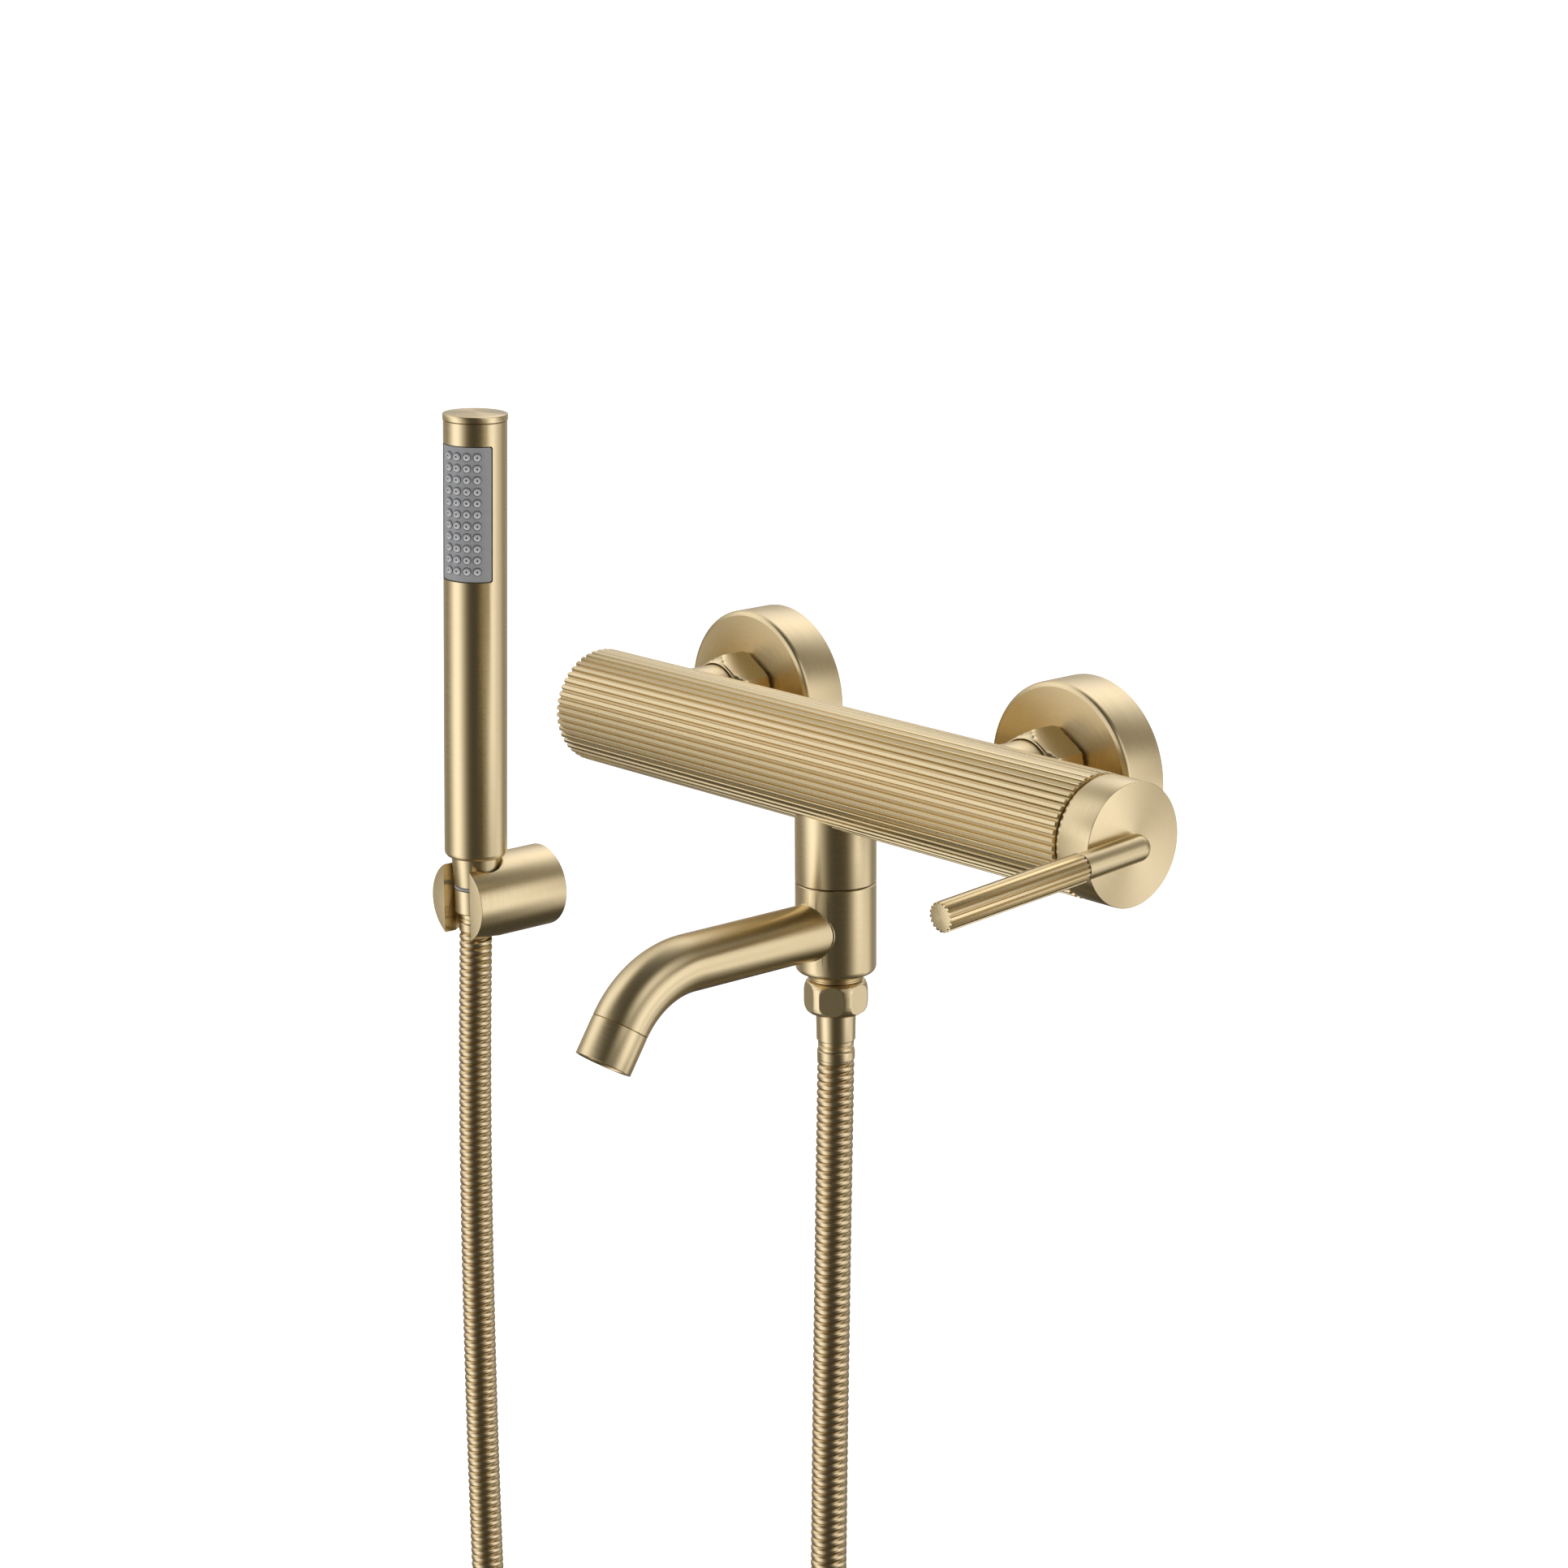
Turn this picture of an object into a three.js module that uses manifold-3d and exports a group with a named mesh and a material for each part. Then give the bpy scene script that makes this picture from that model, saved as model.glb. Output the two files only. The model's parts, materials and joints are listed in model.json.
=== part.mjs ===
// Wall-mounted bath and shower mixer with a swivel spout, a hose, a stick hand shower and its wall bracket.
// Millimetres, +Z up. The wall is the plane y = 0 and the mixer stands out from it along -Y.
// The handle is at the +X end. The origin is on the wall, midway between the two water inlets.
import * as THREE from 'three';
import { mergeVertices } from 'three/addons/utils/BufferGeometryUtils.js';
import Module from 'manifold-3d';

const wasm = await Module();
wasm.setup();

// ---------------------------------------------------------------- driving dimensions
const GAP = 0.3; // clearance between pieces that seat on each other
const INLET_SPACING = 150; // the standard distance between the hot and cold inlets
const UNION_OFFSET = 3; // how far the eccentric wall unions lift the mixer's inlets

const BODY_AXIS = { y: -50.8, z: -3 };
const BODY_RADIUS = 19.6;
const BODY_LEFT = -113.2;
const BODY_RIGHT = 126.6;
const BODY_RIBS = 48;
const RIB_DEPTH = 0.7;

const CAP_RADIUS = 19.5;
const CAP_BACK = 128.8;
const CAP_FACE = 141.2;
const LEVER_DROP = THREE.MathUtils.degToRad(4.2); // the closed lever points out and slightly down
const LEVER_X = 143.9;
const STEM_RADIUS = 4.3;
const STEM_START = 1.5; // distances along the lever, from the handle's axis
const GRIP_START = 25.3;
const GRIP_END = 82.3;
const GRIP_RADIUS = 4.7;
const GRIP_RIBS = 18;

const ROSETTE_RADIUS = 30.7;
const ROSETTE_DEPTH = 16.1;
const NUT_ACROSS_FLATS = 24.6;
const SLEEVE_RADIUS = 11.2;
const SPIGOT_RADIUS = 9.8;

const OUTLET_X = 8.2;
const OUTLET_RADIUS = 13.35;
const SWIVEL_Z = -41.3; // the joint between the fixed outlet and the turning spout
const SPOUT_BOTTOM = -72;
const SPOUT_Z = -56.6;
const ARM_RADIUS = 9.4;
const ARM_WALL = 1.7;
const ARM_STEPS = 8;
const BEND_START = -114.1;
const BEND_RADIUS = 33;
const BEND_ANGLE = THREE.MathUtils.degToRad(57);
const AERATOR_LENGTH = 13.3;

const HANDSET = { x: -214.9, y: -31, pivot: -90 };
const HANDSET_LEAN = THREE.MathUtils.degToRad(1.3); // it stands a little out of plumb in its cradle
const LEAN_TOWARDS = new THREE.Vector3(0.66, 0.75, 0);
const HANDSET_RADIUS = 11.75;
const HANDSET_TOP = 82.7;
const HANDSET_FACING = THREE.MathUtils.degToRad(28); // spray side, turned from -Y towards +X
const SPRAY_HALF_ANGLE = THREE.MathUtils.degToRad(56);
const SPRAY_BOTTOM = 24.8;
const SPRAY_TOP = 74.2;

const BRACKET_Z = -98;
const BRACKET_RADIUS = 15.5;
const BRACKET_LENGTH = 40;
const BRACKET_SLOT = 16;

const HOSE_RADIUS = 6.2;
const HOSE_STEPS = 40;

// ---------------------------------------------------------------- finishes
const finish = {
  brass: { color: 0xbfa46c, roughness: 0.34, metalness: 1 },
  brassRaw: { color: 0xb5924c, roughness: 0.5, metalness: 1 },
  hose: { color: 0xb89d68, roughness: 0.36, metalness: 1 },
  rubber: { color: 0x1d1d1f, roughness: 0.8, metalness: 0 },
  greySilicone: { color: 0x7e7d78, roughness: 0.6, metalness: 0 },
  ceramic: { color: 0xe9e6df, roughness: 0.25, metalness: 0 },
  whitePlastic: { color: 0xdcdcd6, roughness: 0.5, metalness: 0 },
  darkSteel: { color: 0x55534f, roughness: 0.4, metalness: 1 },
};

// ---------------------------------------------------------------- solids
function solid(geometry) {
  const bare = geometry.index ? geometry.toNonIndexed() : geometry.clone();
  for (const name of Object.keys(bare.attributes)) {
    if (name !== 'position') bare.deleteAttribute(name);
  }
  const merged = mergeVertices(bare, 1e-4);
  const corners = merged.index.array;
  const faces = [];
  for (let i = 0; i < corners.length; i += 3) {
    const [a, b, c] = corners.slice(i, i + 3);
    if (a !== b && b !== c && c !== a) faces.push(a, b, c);
  }
  const vertProperties = new Float32Array(merged.attributes.position.array);
  return new wasm.Manifold(new wasm.Mesh({ numProp: 3, vertProperties, triVerts: new Uint32Array(faces) }));
}

function geometryOf(manifold) {
  const mesh = manifold.getMesh();
  const geometry = new THREE.BufferGeometry();
  geometry.setAttribute('position', new THREE.BufferAttribute(mesh.vertProperties, 3));
  geometry.setIndex(new THREE.BufferAttribute(mesh.triVerts, 1));
  geometry.computeVertexNormals();
  return geometry;
}

const subtract = (body, ...tools) => tools.reduce((rest, tool) => rest.subtract(tool), body);
const join = (body, ...others) => others.reduce((whole, other) => whole.add(other), body);

// A turned piece: profile is [radius, height] counter-clockwise, and heights run along the named direction.
const UP = new THREE.Vector3(0, 1, 0);
const DIRECTION = {
  right: new THREE.Vector3(1, 0, 0),
  out: new THREE.Vector3(0, -1, 0),
  up: new THREE.Vector3(0, 0, 1),
};

function turned(profile, direction, origin, segments = 16) {
  const points = profile.map(([radius, height]) => new THREE.Vector2(radius, height));
  const closes = profile[0][0] > 0;
  if (closes) points.push(points[0].clone());
  const geometry = new THREE.LatheGeometry(points, segments);
  geometry.applyQuaternion(new THREE.Quaternion().setFromUnitVectors(UP, direction));
  geometry.translate(...origin);
  return solid(geometry);
}

function rod(radius, low, high, direction, origin, segments = 16) {
  return turned([[0, low], [radius, low], [radius, high], [0, high]], direction, origin, segments);
}

function ring(inner, outer, low, high, direction, origin, segments = 16) {
  return turned([[inner, low], [outer, low], [outer, high], [inner, high]], direction, origin, segments);
}

// An O-ring of the given section, lying round a vertical axis.
function oRing(middle, section, height, origin) {
  const sides = 6;
  const profile = [];
  for (let i = 0; i < sides; i += 1) {
    const angle = (i / sides) * 2 * Math.PI;
    profile.push([middle + section * Math.cos(angle), height + section * Math.sin(angle)]);
  }
  return turned(profile, DIRECTION.up, origin, 16);
}

// The outline of a cylinder with square ribs along it.
function ribbedShape(radius, ribs, depth) {
  const shape = new THREE.Shape();
  const pitch = (2 * Math.PI) / ribs;
  const ribShare = [0, 0.56, 0.64, 0.92]; // rib from, rib to, groove from, groove to
  for (let i = 0; i < ribs; i += 1) {
    ribShare.forEach((share, corner) => {
      const reach = corner < 2 ? radius : radius - depth;
      const angle = (i + share) * pitch;
      const point = [reach * Math.cos(angle), reach * Math.sin(angle)];
      if (i === 0 && corner === 0) shape.moveTo(...point);
      else shape.lineTo(...point);
    });
  }
  shape.closePath();
  return shape;
}

function hexPrism(acrossFlats, low, high, direction, origin, turn = 0) {
  const circumradius = acrossFlats / Math.sqrt(3);
  const geometry = new THREE.CylinderGeometry(circumradius, circumradius, high - low, 6);
  geometry.rotateY(turn);
  geometry.translate(0, (low + high) / 2, 0);
  geometry.applyQuaternion(new THREE.Quaternion().setFromUnitVectors(UP, direction));
  geometry.translate(...origin);
  return solid(geometry);
}

function box(x0, x1, y0, y1, z0, z1) {
  const geometry = new THREE.BoxGeometry(x1 - x0, y1 - y0, z1 - z0);
  geometry.translate((x0 + x1) / 2, (y0 + y1) / 2, (z0 + z1) / 2);
  return solid(geometry);
}

const model = new THREE.Group();

function add(name, manifold, look, parent = model) {
  const mesh = new THREE.Mesh(geometryOf(manifold), new THREE.MeshStandardMaterial(finish[look]));
  mesh.name = name;
  parent.add(mesh);
  return mesh;
}

// ---------------------------------------------------------------- mixer body
const bodyLine = [0, BODY_AXIS.y, BODY_AXIS.z];
const CARTRIDGE_SEAT = 92;
const CARTRIDGE_BORE = 15.2;
const GALLERY_RADIUS = 4;
const HOT_GALLERY = [0, BODY_AXIS.y + 5, BODY_AXIS.z + 6];
const MIXED_GALLERY = [0, BODY_AXIS.y - 4, BODY_AXIS.z - 8];
const COLD_GALLERY = [0, BODY_AXIS.y + 14.3, BODY_AXIS.z];
const SOCKET_RADIUS = 8.5;
const HOT_SOCKET_DEPTH = 48;
const COLD_SOCKET_DEPTH = 40;
const OUTLET_SOCKET_TOP = -13.5;

function inletPoint(side) {
  return [(side * INLET_SPACING) / 2, 0, UNION_OFFSET];
}

function mixerBody() {
  const shape = ribbedShape(BODY_RADIUS, BODY_RIBS, RIB_DEPTH);
  const bar = new THREE.ExtrudeGeometry(shape, { depth: BODY_RIGHT - BODY_LEFT, bevelEnabled: false });
  bar.rotateY(Math.PI / 2);
  bar.translate(BODY_LEFT, BODY_AXIS.y, BODY_AXIS.z);
  const outlet = [OUTLET_X, BODY_AXIS.y, 0];
  return subtract(
    solid(bar),
    rod(CARTRIDGE_BORE, CARTRIDGE_SEAT, BODY_RIGHT + 1, DIRECTION.right, bodyLine),
    rod(16.5, 120, BODY_RIGHT + 1, DIRECTION.right, bodyLine),
    rod(16.5, BODY_LEFT - 1, BODY_LEFT + 3, DIRECTION.right, bodyLine),
    rod(6, BODY_LEFT, BODY_LEFT + 13, DIRECTION.right, bodyLine, 12),
    rod(GALLERY_RADIUS, -80, CARTRIDGE_SEAT + 1, DIRECTION.right, HOT_GALLERY, 10),
    rod(GALLERY_RADIUS, OUTLET_X, CARTRIDGE_SEAT + 1, DIRECTION.right, MIXED_GALLERY, 10),
    rod(3, INLET_SPACING / 2, CARTRIDGE_SEAT + 1, DIRECTION.right, COLD_GALLERY, 10),
    rod(SOCKET_RADIUS, 25, HOT_SOCKET_DEPTH, DIRECTION.out, inletPoint(-1), 16),
    rod(SOCKET_RADIUS, 25, COLD_SOCKET_DEPTH, DIRECTION.out, inletPoint(1), 16),
    rod(9.6, -30, OUTLET_SOCKET_TOP, DIRECTION.up, outlet, 16),
    rod(5, -20, -9, DIRECTION.up, outlet, 12),
  );
}

function bodyParts() {
  add('mixer_body', mixerBody(), 'brass');
  const plug = turned(
    [[0, BODY_LEFT], [16.2, BODY_LEFT], [16.2, BODY_LEFT + 2.7], [5.7, BODY_LEFT + 2.7],
      [5.7, BODY_LEFT + 12], [0, BODY_LEFT + 12]],
    DIRECTION.right, bodyLine,
  );
  add('end_plug', plug, 'brass');
  const collar = turned(
    [[13, 120.3], [16.2, 120.3], [16.2, 126.9], [18.2, 126.9], [18.2, 128.2], [13, 128.2]],
    DIRECTION.right, bodyLine,
  );
  add('body_collar', collar, 'brass');
}

// ---------------------------------------------------------------- cartridge
function cartridgeParts(handle) {
  const along = (profile, segments = 16) => turned(profile, DIRECTION.right, bodyLine, segments);
  add('cartridge_seal', ring(8, 14, 92.3, 93.6, DIRECTION.right, bodyLine), 'rubber');
  add('cartridge_fixed_disc', ring(3, 11.7, 94, 97, DIRECTION.right, bodyLine), 'ceramic');
  add('cartridge_moving_disc', ring(2, 11.7, 97.3, 100.3, DIRECTION.right, bodyLine), 'ceramic', handle);
  const spindle = along([[0, 100.6], [10.5, 100.6], [10.5, 103.6], [4.6, 103.6], [4.6, 137.6], [0, 137.6]]);
  add('cartridge_spindle', spindle, 'whitePlastic', handle);
  const housing = along([[12, 93.9], [14.8, 93.9], [14.8, 110], [5, 110], [5, 104], [12, 104]]);
  add('cartridge_housing', housing, 'whitePlastic');
  const nut = along([[5.2, 110.4], [14.9, 110.4], [14.9, 116.5], [12, 116.5], [12, 119], [5.2, 119]]);
  add('cartridge_nut', nut, 'brassRaw');
}

// ---------------------------------------------------------------- handle
const leverDirection = new THREE.Vector3(0, -Math.cos(LEVER_DROP), -Math.sin(LEVER_DROP));
const leverOrigin = [LEVER_X, BODY_AXIS.y, BODY_AXIS.z];
const STUD_RADIUS = 2.5;
const STUD_LENGTH = 14;
const ROUND_STEPS = 4;

// A rod with a round near end, running out along the lever.
function stemSolid(radius, start, end) {
  const profile = [];
  for (let i = 0; i <= ROUND_STEPS; i += 1) {
    const angle = (i / ROUND_STEPS) * (Math.PI / 2);
    profile.push([radius * Math.sin(angle), start - radius * Math.cos(angle)]);
  }
  profile.push([radius, end], [0, end]);
  profile[0][0] = 0;
  return turned(profile, leverDirection, leverOrigin, 16);
}

function handleParts(handle) {
  const cap = turned(
    [[0, 138], [4.9, 138], [4.9, 130], [8, 130], [8, 136], [16, 136], [16, CAP_BACK],
      [CAP_RADIUS, CAP_BACK], [CAP_RADIUS, CAP_FACE - 0.3], [CAP_RADIUS - 0.3, CAP_FACE], [0, CAP_FACE]],
    DIRECTION.right, bodyLine, 36,
  );
  const screwLine = [133, BODY_AXIS.y, BODY_AXIS.z];
  const screwHole = rod(2.3, -25, -4, DIRECTION.up, screwLine, 16);
  add('handle_cap', subtract(cap, stemSolid(STEM_RADIUS + GAP, STEM_START, 40), screwHole), 'brass', handle);
  add('handle_grub_screw', rod(2, -11, -5.2, DIRECTION.up, screwLine, 12), 'darkSteel', handle);

  const stem = join(
    stemSolid(STEM_RADIUS, STEM_START, GRIP_START - GAP),
    rod(STUD_RADIUS, GRIP_START - 2, GRIP_START + STUD_LENGTH, leverDirection, leverOrigin, 12),
  );
  add('lever_stem', stem, 'brass', handle);

  const gripShape = ribbedShape(GRIP_RADIUS, GRIP_RIBS, 0.45);
  const grip = new THREE.ExtrudeGeometry(gripShape, { depth: GRIP_END - GRIP_START, bevelEnabled: false });
  grip.translate(0, 0, GRIP_START);
  grip.applyQuaternion(new THREE.Quaternion().setFromUnitVectors(DIRECTION.up, leverDirection));
  grip.translate(...leverOrigin);
  const studHole = rod(STUD_RADIUS + GAP, GRIP_START - 1, GRIP_START + STUD_LENGTH + GAP,
    leverDirection, leverOrigin, 12);
  add('lever_grip', subtract(solid(grip), studHole), 'brass', handle);
}

// ---------------------------------------------------------------- inlets
const WALL_THREAD_LENGTH = 12;
const UNION_FACE = 17;
const NUT_BACK = 17.2;
const NUT_FRONT = 30.8;
const NUT_SHOULDER = 27.5;

function rosette(side) {
  const round = 1.6;
  const cup = turned(
    [[0, ROSETTE_DEPTH - 2], [ROSETTE_RADIUS - 2.6, ROSETTE_DEPTH - 2], [ROSETTE_RADIUS - 2.6, 0],
      [ROSETTE_RADIUS, 0], [ROSETTE_RADIUS, ROSETTE_DEPTH - round],
      [ROSETTE_RADIUS - round * 0.3, ROSETTE_DEPTH - round * 0.3],
      [ROSETTE_RADIUS - round, ROSETTE_DEPTH], [0, ROSETTE_DEPTH]],
    DIRECTION.out, [(side * INLET_SPACING) / 2, 0, 0], 36,
  );
  return subtract(cup, rod(11.8, 5, 20, DIRECTION.out, inletPoint(side)));
}

function wallUnion(side) {
  const wallPoint = [(side * INLET_SPACING) / 2, 0, 0];
  const point = inletPoint(side);
  const outside = join(
    rod(10.2, -WALL_THREAD_LENGTH, 9, DIRECTION.out, wallPoint, 16),
    rod(11.4, 6, UNION_FACE, DIRECTION.out, point, 16),
  );
  return subtract(
    outside,
    rod(6, -WALL_THREAD_LENGTH - 1, 7, DIRECTION.out, wallPoint, 12),
    rod(6, 4, UNION_FACE + 1, DIRECTION.out, point, 8),
  );
}

function unionNut(side) {
  const point = inletPoint(side);
  const corner = NUT_ACROSS_FLATS / Math.sqrt(3);
  const hex = hexPrism(NUT_ACROSS_FLATS, NUT_BACK, NUT_FRONT, DIRECTION.out, point, 0);
  const dome = turned(
    [[0, NUT_BACK], [corner - 0.8, NUT_BACK], [corner, NUT_BACK + 0.6], [corner, NUT_FRONT - 3.2],
      [12.9, NUT_FRONT - 1], [12.2, NUT_FRONT - 0.2], [11.8, NUT_FRONT], [0, NUT_FRONT]],
    DIRECTION.out, point, 20,
  );
  return subtract(
    hex.intersect(dome),
    rod(11.7, NUT_BACK - 1, 21.8, DIRECTION.out, point, 20),
    rod(SPIGOT_RADIUS + GAP, 15, NUT_SHOULDER + 1, DIRECTION.out, point, 20),
    rod(SLEEVE_RADIUS + GAP, NUT_SHOULDER, NUT_FRONT + 1, DIRECTION.out, point, 24),
  );
}

function inletSpigot(side) {
  const point = inletPoint(side);
  const depth = side < 0 ? HOT_SOCKET_DEPTH : COLD_SOCKET_DEPTH;
  const visible = subtract(
    rod(SLEEVE_RADIUS, NUT_SHOULDER + GAP, 46, DIRECTION.out, point, 24),
    rod(BODY_RADIUS + GAP, -150, 150, DIRECTION.right, bodyLine, 36),
  );
  return subtract(
    join(
      visible,
      rod(11, 19.3, 21.3, DIRECTION.out, point),
      rod(SPIGOT_RADIUS, 20, NUT_SHOULDER + 1, DIRECTION.out, point),
      rod(SOCKET_RADIUS - GAP, 20, depth - 6, DIRECTION.out, point, 16),
    ),
    rod(5.5, 15, 60, DIRECTION.out, point, 8),
  );
}

function checkValve(side) {
  return turned(
    [[2.2, 22], [4.9, 22], [4.9, 30], [3.4, 32], [2.2, 32]],
    DIRECTION.out, inletPoint(side), 12,
  );
}

function inletParts() {
  for (const [side, name] of [[-1, 'left'], [1, 'right']]) {
    add(`rosette_${name}`, rosette(side), 'brass');
    add(`wall_union_${name}`, wallUnion(side), 'brassRaw');
    add(`union_washer_${name}`, ring(6.5, 10.9, 17.3, 19, DIRECTION.out, inletPoint(side), 12), 'rubber');
    add(`union_nut_${name}`, unionNut(side), 'brass');
    add(`inlet_spigot_${name}`, inletSpigot(side), 'brass');
    add(`check_valve_${name}`, checkValve(side), 'whitePlastic');
  }
}

// ---------------------------------------------------------------- outlet and spout
const outletLine = [OUTLET_X, BODY_AXIS.y, 0];
const TUBE_BORE = 8;
const STEM_OUTER = 7.7;
const O_RING_HEIGHTS = { outlet_o_ring: -33, stem_o_ring_upper: -47, stem_o_ring_lower: -67 };

function outletTube() {
  const outside = subtract(
    rod(OUTLET_RADIUS, SWIVEL_Z + 0.2, -8, DIRECTION.up, outletLine, 32),
    rod(BODY_RADIUS + GAP, -60, 60, DIRECTION.right, bodyLine, 36),
  );
  return subtract(
    join(outside, rod(9.3, -30, OUTLET_SOCKET_TOP - GAP, DIRECTION.up, outletLine, 16)),
    rod(TUBE_BORE, SWIVEL_Z - 1, -26, DIRECTION.up, outletLine, 16),
    rod(5, -30, -5, DIRECTION.up, outletLine, 10),
  );
}

function swivelStem() {
  const stem = turned(
    [[4, -81.3], [7, -81.3], [7, -71.7], [STEM_OUTER, -71.7], [STEM_OUTER, -63], [6, -63], [6, -50],
      [STEM_OUTER, -50], [STEM_OUTER, -26.4], [4, -26.4]],
    DIRECTION.up, outletLine, 16,
  );
  const grooves = Object.values(O_RING_HEIGHTS)
    .map((height) => ring(6, STEM_OUTER + 1, height - 1, height + 1, DIRECTION.up, outletLine, 16));
  const crossHole = rod(2.5, -12, 12, DIRECTION.out, [OUTLET_X, BODY_AXIS.y, SPOUT_Z], 8);
  return subtract(stem, ...grooves, crossHole);
}

// The arm's centre line: one step out from the outlet's axis, and the rest of the steps round the bend.
class ArmCurve extends THREE.Curve {
  constructor(start) {
    super();
    this.start = start;
  }

  getPoint(t, target = new THREE.Vector3()) {
    const straightShare = 1 / ARM_STEPS;
    const out = Math.min(t / straightShare, 1);
    const angle = Math.max(0, (t - straightShare) / (1 - straightShare)) * BEND_ANGLE;
    const y = THREE.MathUtils.lerp(this.start, BEND_START, out) - BEND_RADIUS * Math.sin(angle);
    const z = SPOUT_Z - BEND_RADIUS * (1 - Math.cos(angle));
    return target.set(OUTLET_X, y, z);
  }

  getUtoTmapping(u) {
    return u;
  }
}

function armTube(radius, start) {
  const section = new THREE.Shape();
  section.absarc(0, 0, radius, 0, 2 * Math.PI);
  const extrudePath = new ArmCurve(start);
  const geometry = new THREE.ExtrudeGeometry(section, { steps: ARM_STEPS, curveSegments: 10, extrudePath });
  return solid(geometry);
}

function spoutBody() {
  const tee = turned(
    [[0, SPOUT_BOTTOM], [OUTLET_RADIUS - 2.2, SPOUT_BOTTOM], [OUTLET_RADIUS - 0.7, SPOUT_BOTTOM + 0.7],
      [OUTLET_RADIUS, SPOUT_BOTTOM + 2.2], [OUTLET_RADIUS, SWIVEL_Z - 0.2], [0, SWIVEL_Z - 0.2]],
    DIRECTION.up, outletLine, 32,
  );
  return subtract(
    join(tee, armTube(ARM_RADIUS, BODY_AXIS.y)),
    armTube(ARM_RADIUS - ARM_WALL, BODY_AXIS.y - 5),
    rod(TUBE_BORE, SPOUT_BOTTOM - 1, SWIVEL_Z + 1, DIRECTION.up, outletLine, 16),
    rod(11.5, -43, SWIVEL_Z + 1, DIRECTION.up, outletLine, 16),
  );
}

function spoutParts(spout) {
  add('outlet_tube', outletTube(), 'brass');
  add('swivel_stem', swivelStem(), 'brassRaw');
  for (const [name, height] of Object.entries(O_RING_HEIGHTS)) {
    add(name, oRing(7, 0.68, height, outletLine), 'rubber');
  }
  add('swivel_ring', ring(8.3, 11.2, -42.7, -41.4, DIRECTION.up, outletLine, 16), 'whitePlastic');
  add('retaining_collar', ring(7.3, 9.1, -74.3, -72.3, DIRECTION.up, outletLine, 16), 'brass');
  add('spout_body', spoutBody(), 'brass', spout);

  const mouthDirection = new THREE.Vector3(0, -Math.cos(BEND_ANGLE), -Math.sin(BEND_ANGLE));
  const bendEnd = new ArmCurve(BODY_AXIS.y).getPoint(1).toArray();
  const shell = turned(
    [[6, -4], [7, -4], [7, GAP], [ARM_RADIUS, GAP], [ARM_RADIUS, AERATOR_LENGTH - 0.3],
      [ARM_RADIUS - 0.3, AERATOR_LENGTH], [8.3, AERATOR_LENGTH], [8, AERATOR_LENGTH - 0.3],
      [8, 3.5], [6, 3.5]],
    mouthDirection, bendEnd, 20,
  );
  add('aerator_ring', shell, 'brass', spout);
  add('aerator_washer', ring(6.4, 7.7, 3.8, 5.2, mouthDirection, bendEnd, 16), 'rubber', spout);
  add('aerator_insert', ring(1.2, 7.7, 5.5, 9.8, mouthDirection, bendEnd, 16), 'greySilicone', spout);
}

// ---------------------------------------------------------------- hose and its mixer end
function hoseNut() {
  const profile = [[0, -85.9], [8, -85.9], [9.4, -85.2], [10.3, -84], [10.6, -82.2], [10.6, -78.2],
    [10.4, -76.6], [9.7, -75.3], [8.8, -74.6], [0, -74.6]];
  const round = turned(profile, DIRECTION.up, outletLine, 16);
  const hex = hexPrism(19.6, -87, -74, DIRECTION.up, outletLine, Math.PI / 6 + 0.35);
  return subtract(
    round.intersect(hex),
    rod(7.3, -83.9, -70, DIRECTION.up, outletLine, 16),
    rod(6.8, -90, -70, DIRECTION.up, outletLine, 16),
  );
}

// The hose hangs from the mixer in one long loop and comes back up to the hand shower.
const HOSE_ROUTE = [
  [8.2, -50.8, -99], [7.8, -50.8, -116], [7, -50.7, -142], [5.7, -50.5, -187], [4, -50.2, -247],
  [1.9, -49.4, -317], [-0.4, -48.3, -392], [-3.6, -46.9, -466], [-8.3, -45.5, -526],
  [-14.8, -44.3, -571], [-23.8, -43.3, -607], [-36.8, -42.4, -637], [-54.5, -41.6, -661],
  [-76.3, -41.1, -677], [-100.4, -40.9, -683], [-124.9, -40.8, -679], [-146.5, -40.4, -667],
  [-165, -39.9, -646], [-180.3, -39.2, -616], [-191.2, -38.5, -581], [-199.6, -37.6, -537],
  [-206.2, -36.6, -477], [-211.2, -35.6, -402], [-214.4, -34.7, -327], [-216, -33.9, -257],
  [-216.5, -33.1, -197], [-216.1, -32.3, -152], [-215.5, -31.7, -125], [-215.16, -31.3, -107],
].map((point) => new THREE.Vector3(...point));

function hoseTube() {
  const section = new THREE.Shape();
  section.absarc(0, 0, HOSE_RADIUS, 0, 2 * Math.PI);
  const extrudePath = new THREE.CatmullRomCurve3(HOSE_ROUTE, false, 'catmullrom', 0.5);
  return solid(new THREE.ExtrudeGeometry(section, { steps: HOSE_STEPS, curveSegments: 4, extrudePath }));
}

function hoseParts() {
  add('hose_nut', hoseNut(), 'brass');
  add('hose_washer', ring(4.2, 6.9, -82.2, -81.6, DIRECTION.up, outletLine, 16), 'rubber');
  const ferrule = turned(
    [[4, -98.7], [6, -98.7], [6, -95.4], [6.4, -95.2], [6.55, -86.4], [6.55, -83.7], [7, -83.7],
      [7, -82.5], [4, -82.5]],
    DIRECTION.up, outletLine, 16,
  );
  add('hose_ferrule', ferrule, 'brass');
  add('hose', hoseTube(), 'hose');
}

// ---------------------------------------------------------------- hand shower
const leanAxis = DIRECTION.up.clone().cross(LEAN_TOWARDS).normalize();
const lean = new THREE.Quaternion().setFromAxisAngle(leanAxis, HANDSET_LEAN);
const handsetUp = DIRECTION.up.clone().applyQuaternion(lean);
const handsetPivot = new THREE.Vector3(HANDSET.x, HANDSET.y, HANDSET.pivot);
const handsetLine = handsetPivot.addScaledVector(handsetUp, -HANDSET.pivot).toArray();
const NECK_TOP = -81.2;
const NECK_END = -92.3;

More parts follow.
